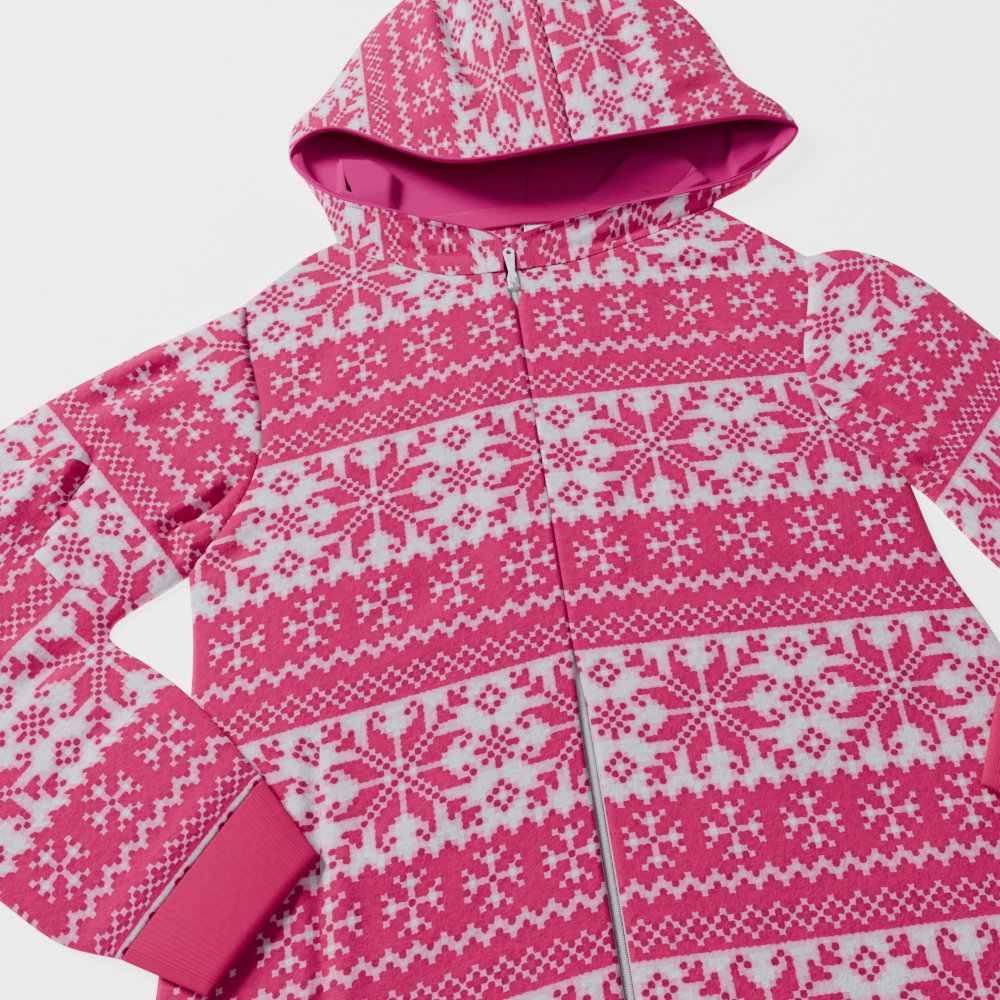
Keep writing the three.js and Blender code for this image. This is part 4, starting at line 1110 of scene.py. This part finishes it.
class Finishes:
    """The garment's materials."""

    def __init__(self) -> None:
        self.groups = NodeGroups()
        self.print_fleece = self.make_print()
        self.rib = self.make_knit("rib knit", RIB_PINK, 620.0, 0.22, 0.5)
        self.lining = self.make_knit("pink lining", LINING_PINK, 700.0, 0.1, 0.25)
        self.tape = self.make_knit("neck tape", TAPE_PINK, 900.0, 0.15, 0.25)
        self.zip_tape = self.make_knit("zip tape", ZIP_WHITE, 900.0, 0.15, 0.0)
        self.thread = self.make_plain("thread", linear("#c9005a"), 0.7, 0.0)
        self.coil = self.make_plain("nylon coil", ZIP_WHITE, 0.42, 0.0)
        self.enamel = self.make_plain("white enamel", ENAMEL, 0.28, 0.35)

    def new(self, name: str) -> tuple[bpy.types.Material, Graph, bpy.types.Node]:
        """A material with its surface shader and a writer for its nodes."""
        material = bpy.data.materials.new(name)
        material.use_nodes = True
        surface = material.node_tree.nodes["Principled BSDF"]
        return material, Graph(material.node_tree), surface

    def bump(self, graph: Graph, surface: bpy.types.Node, height, strength: float,
             distance: float) -> None:
        """Raises the surface by a height mask."""
        made = graph.node("ShaderNodeBump", {"Strength": strength, "Distance": distance,
                                             "Height": height})
        graph.feed(surface.inputs["Normal"], made.outputs[0])

    def make_print(self) -> bpy.types.Material:
        """Magenta and grey-white knit-pattern print on brushed fleece."""
        material, graph, surface = self.new("print fleece")
        chart, beyond, depth = (graph.node("ShaderNodeUVMap", uv_map=name).outputs[0]
                                for name in ("Chart", "Beyond", "Depth"))
        place = graph.node("ShaderNodeTexCoord").outputs["Object"]
        past = graph.math("GREATER_THAN", graph.node("ShaderNodeSeparateXYZ", {0: depth}).outputs[0],
                          0.0)
        stitches = graph.mix(past, chart, beyond, "VECTOR")
        printed = graph.node("ShaderNodeGroup", {0: stitches, 1: 0.5},
                             node_tree=self.groups.print)
        magenta, halo, around = printed.outputs
        nap = graph.node("ShaderNodeGroup", {0: place, 1: 620.0}, node_tree=self.groups.nap)
        pale = graph.mix(graph.math("MAXIMUM", halo, graph.ramp(around, 0.0, 0.45)), PALE, HALO)
        dark = graph.mix(graph.ramp(around, 0.0, 0.8), DOT, MAGENTA)
        inked = graph.mix(magenta, pale, dark)
        shade = graph.math("MULTIPLY_ADD", nap.outputs["Shade"], 1.0, 0.5)
        coloured = graph.node("ShaderNodeVectorMath", {0: inked, "Scale": shade},
                              operation="SCALE")
        graph.feed(surface.inputs["Base Color"], coloured.outputs[0])
        surface.inputs["Roughness"].default_value = 0.95
        surface.inputs["Sheen Weight"].default_value = 0.06
        surface.inputs["Sheen Roughness"].default_value = 0.5
        surface.inputs["Sheen Tint"].default_value = (1.0, 0.6, 0.8, 1.0)
        surface.inputs["Specular IOR Level"].default_value = 0.05
        self.bump(graph, surface, nap.outputs["Height"], 0.9, 0.002)
        return material

    def make_knit(self, name: str, colour: tuple, loops: float, bump: float,
                  depth: float) -> bpy.types.Material:
        """A fine knit in one colour, a little uneven."""
        material, graph, surface = self.new(name)
        place = graph.node("ShaderNodeTexCoord").outputs["Object"]
        knit = graph.node("ShaderNodeGroup", node_tree=self.groups.knit)
        graph.feed(knit.inputs[0], place)
        graph.feed(knit.inputs[1], loops)
        shade = graph.math("MULTIPLY_ADD", knit.outputs["Shade"], 0.2 + 0.3 * depth,
                           0.9 - 0.15 * depth)
        coloured = graph.node("ShaderNodeVectorMath", {0: colour[:3], "Scale": shade},
                              operation="SCALE")
        graph.feed(surface.inputs["Base Color"], coloured.outputs[0])
        surface.inputs["Roughness"].default_value = 0.85
        surface.inputs["Sheen Weight"].default_value = 0.04
        surface.inputs["Sheen Tint"].default_value = (1.0, 0.5, 0.75, 1.0)
        surface.inputs["Specular IOR Level"].default_value = 0.05
        self.bump(graph, surface, knit.outputs["Height"], bump, 0.0006)
        return material

    def make_plain(self, name: str, colour: tuple, roughness: float,
                   coat: float) -> bpy.types.Material:
        """A smooth finish with faint wear in its gloss."""
        material, graph, surface = self.new(name)
        place = graph.node("ShaderNodeTexCoord").outputs["Object"]
        noise = graph.node("ShaderNodeTexNoise", {"Vector": place, "Scale": 900.0,
                                                  "Detail": 3.0})
        shade = graph.math("MULTIPLY_ADD", noise.outputs[0], 0.16, 0.92)
        coloured = graph.node("ShaderNodeVectorMath", {0: colour[:3], "Scale": shade},
                              operation="SCALE")
        rough = graph.math("MULTIPLY_ADD", noise.outputs[0], 0.2, roughness - 0.1)
        graph.feed(surface.inputs["Base Color"], coloured.outputs[0])
        graph.feed(surface.inputs["Roughness"], rough)
        surface.inputs["Coat Weight"].default_value = coat
        return material


class Onesie:
    """Builds the garment's visible pieces."""

    def __init__(self) -> None:
        self.shop = Workshop()
        self.cut = Pattern()
        self.looks = Finishes()

    def cloth_piece(self, name: str, cloth: Cloth, material: bpy.types.Material, slot: str,
                    outer: np.ndarray | None = None) -> bpy.types.Object:
        """A cloth shell that stands for the node of the same name."""
        made = self.shop.shell(name + "_cloth", cloth, outer)
        self.shop.finish_piece(made, material, slot, (name,))
        return made

    def body(self, side: Side) -> None:
        """The back panel and the front panel that lies on it."""
        back, front = "back_" + side.value, "front_" + side.value
        under = self.cut.panel(side, False, (24, 60, 60), 30)
        self.cloth_piece(back, under, self.looks.print_fleece, "print_fleece")
        over = self.cut.panel(side, True, (84, 200, 70), 82)
        self.cloth_piece(front, over, self.looks.print_fleece, "print_fleece")
        for number, run in enumerate(FRONT_STITCHES[side]):
            self.stitched_line(f"front_stitch_{side.value}_{number}", over, run)

    def arm(self, side: Side) -> None:
        """A sleeve with its rib cuff."""
        name = "sleeve_" + side.value
        cloth = self.cut.sleeve(side, 170, 64)
        self.cloth_piece(name, cloth, self.looks.print_fleece, "print_fleece")
        cuff = self.cut.cuff(SLEEVE[side][-1], CUFF_END[side], 84, 30)
        self.cloth_piece("cuff_" + side.value, cuff, self.looks.rib, "pink_rib")

    def ankle(self, side: Side) -> None:
        """The rib cuff at the end of a leg."""
        last = BODY[-1]
        outer = getattr(last, side.value)[0]
        start = SleeveSection((side.sign * last.centre, last.y), (outer, last.y))
        low = last.y - ANKLE["length"]
        end = SleeveSection((side.sign * ANKLE["inner"], low), (side.sign * ANKLE["outer"], low))
        cuff = self.cut.cuff(start, end, 64, 22)
        cuff.flip = side is Side.RIGHT
        self.cloth_piece("ankle_cuff_" + side.value, cuff, self.looks.rib, "pink_rib")

    def hood_half(self, side: Side) -> None:
        """A hood half with its hem, its lining and the rim's topstitch."""
        a = np.linspace(0, 1, 76) ** 1.25
        b = np.linspace(0, 1, 118)
        cloth = self.cut.hood(side, a, b)
        from_rim = arc_lengths(cloth.grid, 0)
        hem = 0.9 * (1 - smoothstep(from_rim, HEM - 2, HEM + 2))
        stitch_dip = 0.7 * np.exp(-(((from_rim - HEM) / 1.6) ** 2))
        outer = cloth.face() + cloth.normals * (hem - stitch_dip)[..., None]
        made = self.cloth_piece("hood_" + side.value, cloth, self.looks.print_fleece,
                                "print_fleece", outer)
        made.data.materials.append(self.looks.lining)
        lined = np.ones(len(made.data.polygons), int)
        lined[RIM_ROWS * (len(b) - 1) : (len(a) - 1) * (len(b) - 1)] = 0
        made.data.polygons.foreach_set("material_index", lined)
        inner = self.cut.lining(side, np.linspace(0.002, 1, 100), np.linspace(0.004, 1, 124))
        self.cloth_piece("hood_lining_" + side.value, inner, self.looks.lining, "pink_lining")
        if side is Side.RIGHT:
            low = Cloth(inner.grid[:, :56], inner.chart[:, :56], LINING, flip=inner.flip)
            self.stitched_line("lining_stitch", low, LINING_STITCHES)
        row = np.argmin(np.abs(from_rim - HEM), axis=0)
        columns = np.arange(2, len(b) - 1)
        line = outer[row[columns], columns]
        lift = cloth.normals[row[columns], columns]
        made = self.shop.stitches("rim_stitch_" + side.value, line, lift)
        self.shop.finish_piece(made, self.looks.thread, "print_fleece")

    def stitched_line(self, name: str, cloth: Cloth, run: tuple[tuple[float, float], ...]) -> None:
        """A row of stitches on the upper side of a cloth, along points in plan."""
        places = along(np.array(run, float), np.linspace(0, 1, 160))
        face, normals = cloth.face().reshape(-1, 3), cloth.normals.reshape(-1, 3)
        near = [np.argmin(np.hypot(face[:, 0] - x, face[:, 1] - y)) for x, y in places]
        line = np.column_stack([places, np.convolve(np.pad(face[near, 2], 3, "edge"),
                                                    np.full(7, 1 / 7), "valid")])
        made = self.shop.stitches(name, line, normals[near])
        self.shop.finish_piece(made, self.looks.thread, "print_fleece")

    def tape_and_zip(self) -> None:
        """The neck tape, the zip's coil and the finishes of its tapes, slider and pull."""
        self.cloth_piece("neck_tape", self.cut.neck_tape(), self.looks.tape, "pink_tape")
        pitch = 1.5
        y = np.arange(-ZIP_LENGTH + 6, ZIP_TOP, pitch)
        starts, ends = [], []
        for sign in (-1, 1):
            places = y + (pitch / 2 if sign > 0 else 0)
            starts.append(np.stack([np.full_like(y, sign * 2.9), places, np.full_like(y, COIL_Z)],
                                   -1))
            ends.append(np.stack([np.full_like(y, sign * -0.5), places + 0.5,
                                  np.full_like(y, COIL_Z + 0.5)], -1))
        starts, ends = np.concatenate(starts), np.concatenate(ends)
        up = np.tile((0.0, 0.0, 1.0), (len(starts), 1))
        coil = self.shop.rods("zip_coil_loops", starts, ends, 0.7, up)
        self.shop.finish_piece(coil, self.looks.coil, "zip_coil", ("zip_coil",))
        for node, material in (("zip_tape_left", self.looks.zip_tape),
                               ("zip_tape_right", self.looks.zip_tape),
                               ("zip_slider", self.looks.enamel),
                               ("zip_pull", self.looks.enamel)):
            for index in range(max(1, len(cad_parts[node].material_slots))):
                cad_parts[node].material_slots[index].material = material

    def build(self) -> None:
        """Makes every piece."""
        for side in Side:
            self.body(side)
            self.arm(side)
            self.ankle(side)
            self.hood_half(side)
        self.tape_and_zip()


class Studio:
    """The floor, the light and the camera."""

    AIM = (-35.5, -201.0, 0.0)
    FROM_AIM = (-61.8, -489.3, 900.8)
    LENS = 48.6

    def __init__(self, shop: Workshop) -> None:
        self.shop = shop

    def floor(self) -> None:
        """A plain pale floor just under the garment."""
        half, below = 6.0, -0.0002
        data = bpy.data.meshes.new("floor")
        corners = [(-half, -half), (half, -half), (half, half), (-half, half)]
        data.from_pydata([(x, y, below) for x, y in corners], [], [(0, 1, 2, 3)])
        made = bpy.data.objects.new("floor", data)
        bpy.context.scene.collection.objects.link(made)
        material = bpy.data.materials.new("floor white")
        material.use_nodes = True
        surface = material.node_tree.nodes["Principled BSDF"]
        surface.inputs["Base Color"].default_value = (0.94, 0.94, 0.94, 1)
        surface.inputs["Roughness"].default_value = 0.9
        surface.inputs["Emission Color"].default_value = (1, 1, 1, 1)
        surface.inputs["Emission Strength"].default_value = 2.8
        data.materials.append(material)

    def lights(self) -> None:
        """A low soft light from the hood's left and a faint wide one overhead."""
        world = bpy.data.worlds.new("studio")
        world.use_nodes = True
        world.node_tree.nodes["Background"].inputs[0].default_value = (1, 1, 1, 1)
        world.node_tree.nodes["Background"].inputs[1].default_value = 0.24
        bpy.context.scene.world = world
        centre = self.shop.place(np.array(self.AIM))[0]
        for name, offset, size, power in (("key", (-2.1, 1.6, 1.85), 1.2, 212.0),
                                          ("fill", (1.2, -0.8, 2.4), 2.4, 10.0)):
            lamp = bpy.data.lights.new(name, "AREA")
            lamp.shape = "SQUARE"
            lamp.size = size
            lamp.energy = power
            made = bpy.data.objects.new(name, lamp)
            made.location = Vector(centre) + Vector(offset)
            made.rotation_euler = (-Vector(offset)).to_track_quat("-Z", "Y").to_euler()
            bpy.context.scene.collection.objects.link(made)

    def camera(self) -> None:
        """A camera at the photo's angle and distance."""
        aim = Vector(self.shop.place(np.array(self.AIM))[0])
        offset = Vector(self.FROM_AIM) * MM
        data = bpy.data.cameras.new("camera")
        data.lens = self.LENS
        data.sensor_width = 36.0
        data.clip_end = 50.0
        made = bpy.data.objects.new("camera", data)
        made.location = aim + offset
        made.rotation_euler = (-offset).to_track_quat("-Z", "Y").to_euler()
        bpy.context.scene.collection.objects.link(made)
        bpy.context.scene.camera = made


def main() -> None:
    """Builds the garment, then sets up its floor, light and camera."""
    logging.basicConfig(level=logging.INFO)
    garment = Onesie()
    garment.build()
    studio = Studio(garment.shop)
    studio.floor()
    studio.lights()
    studio.camera()


if __name__ == "__main__":
    main()
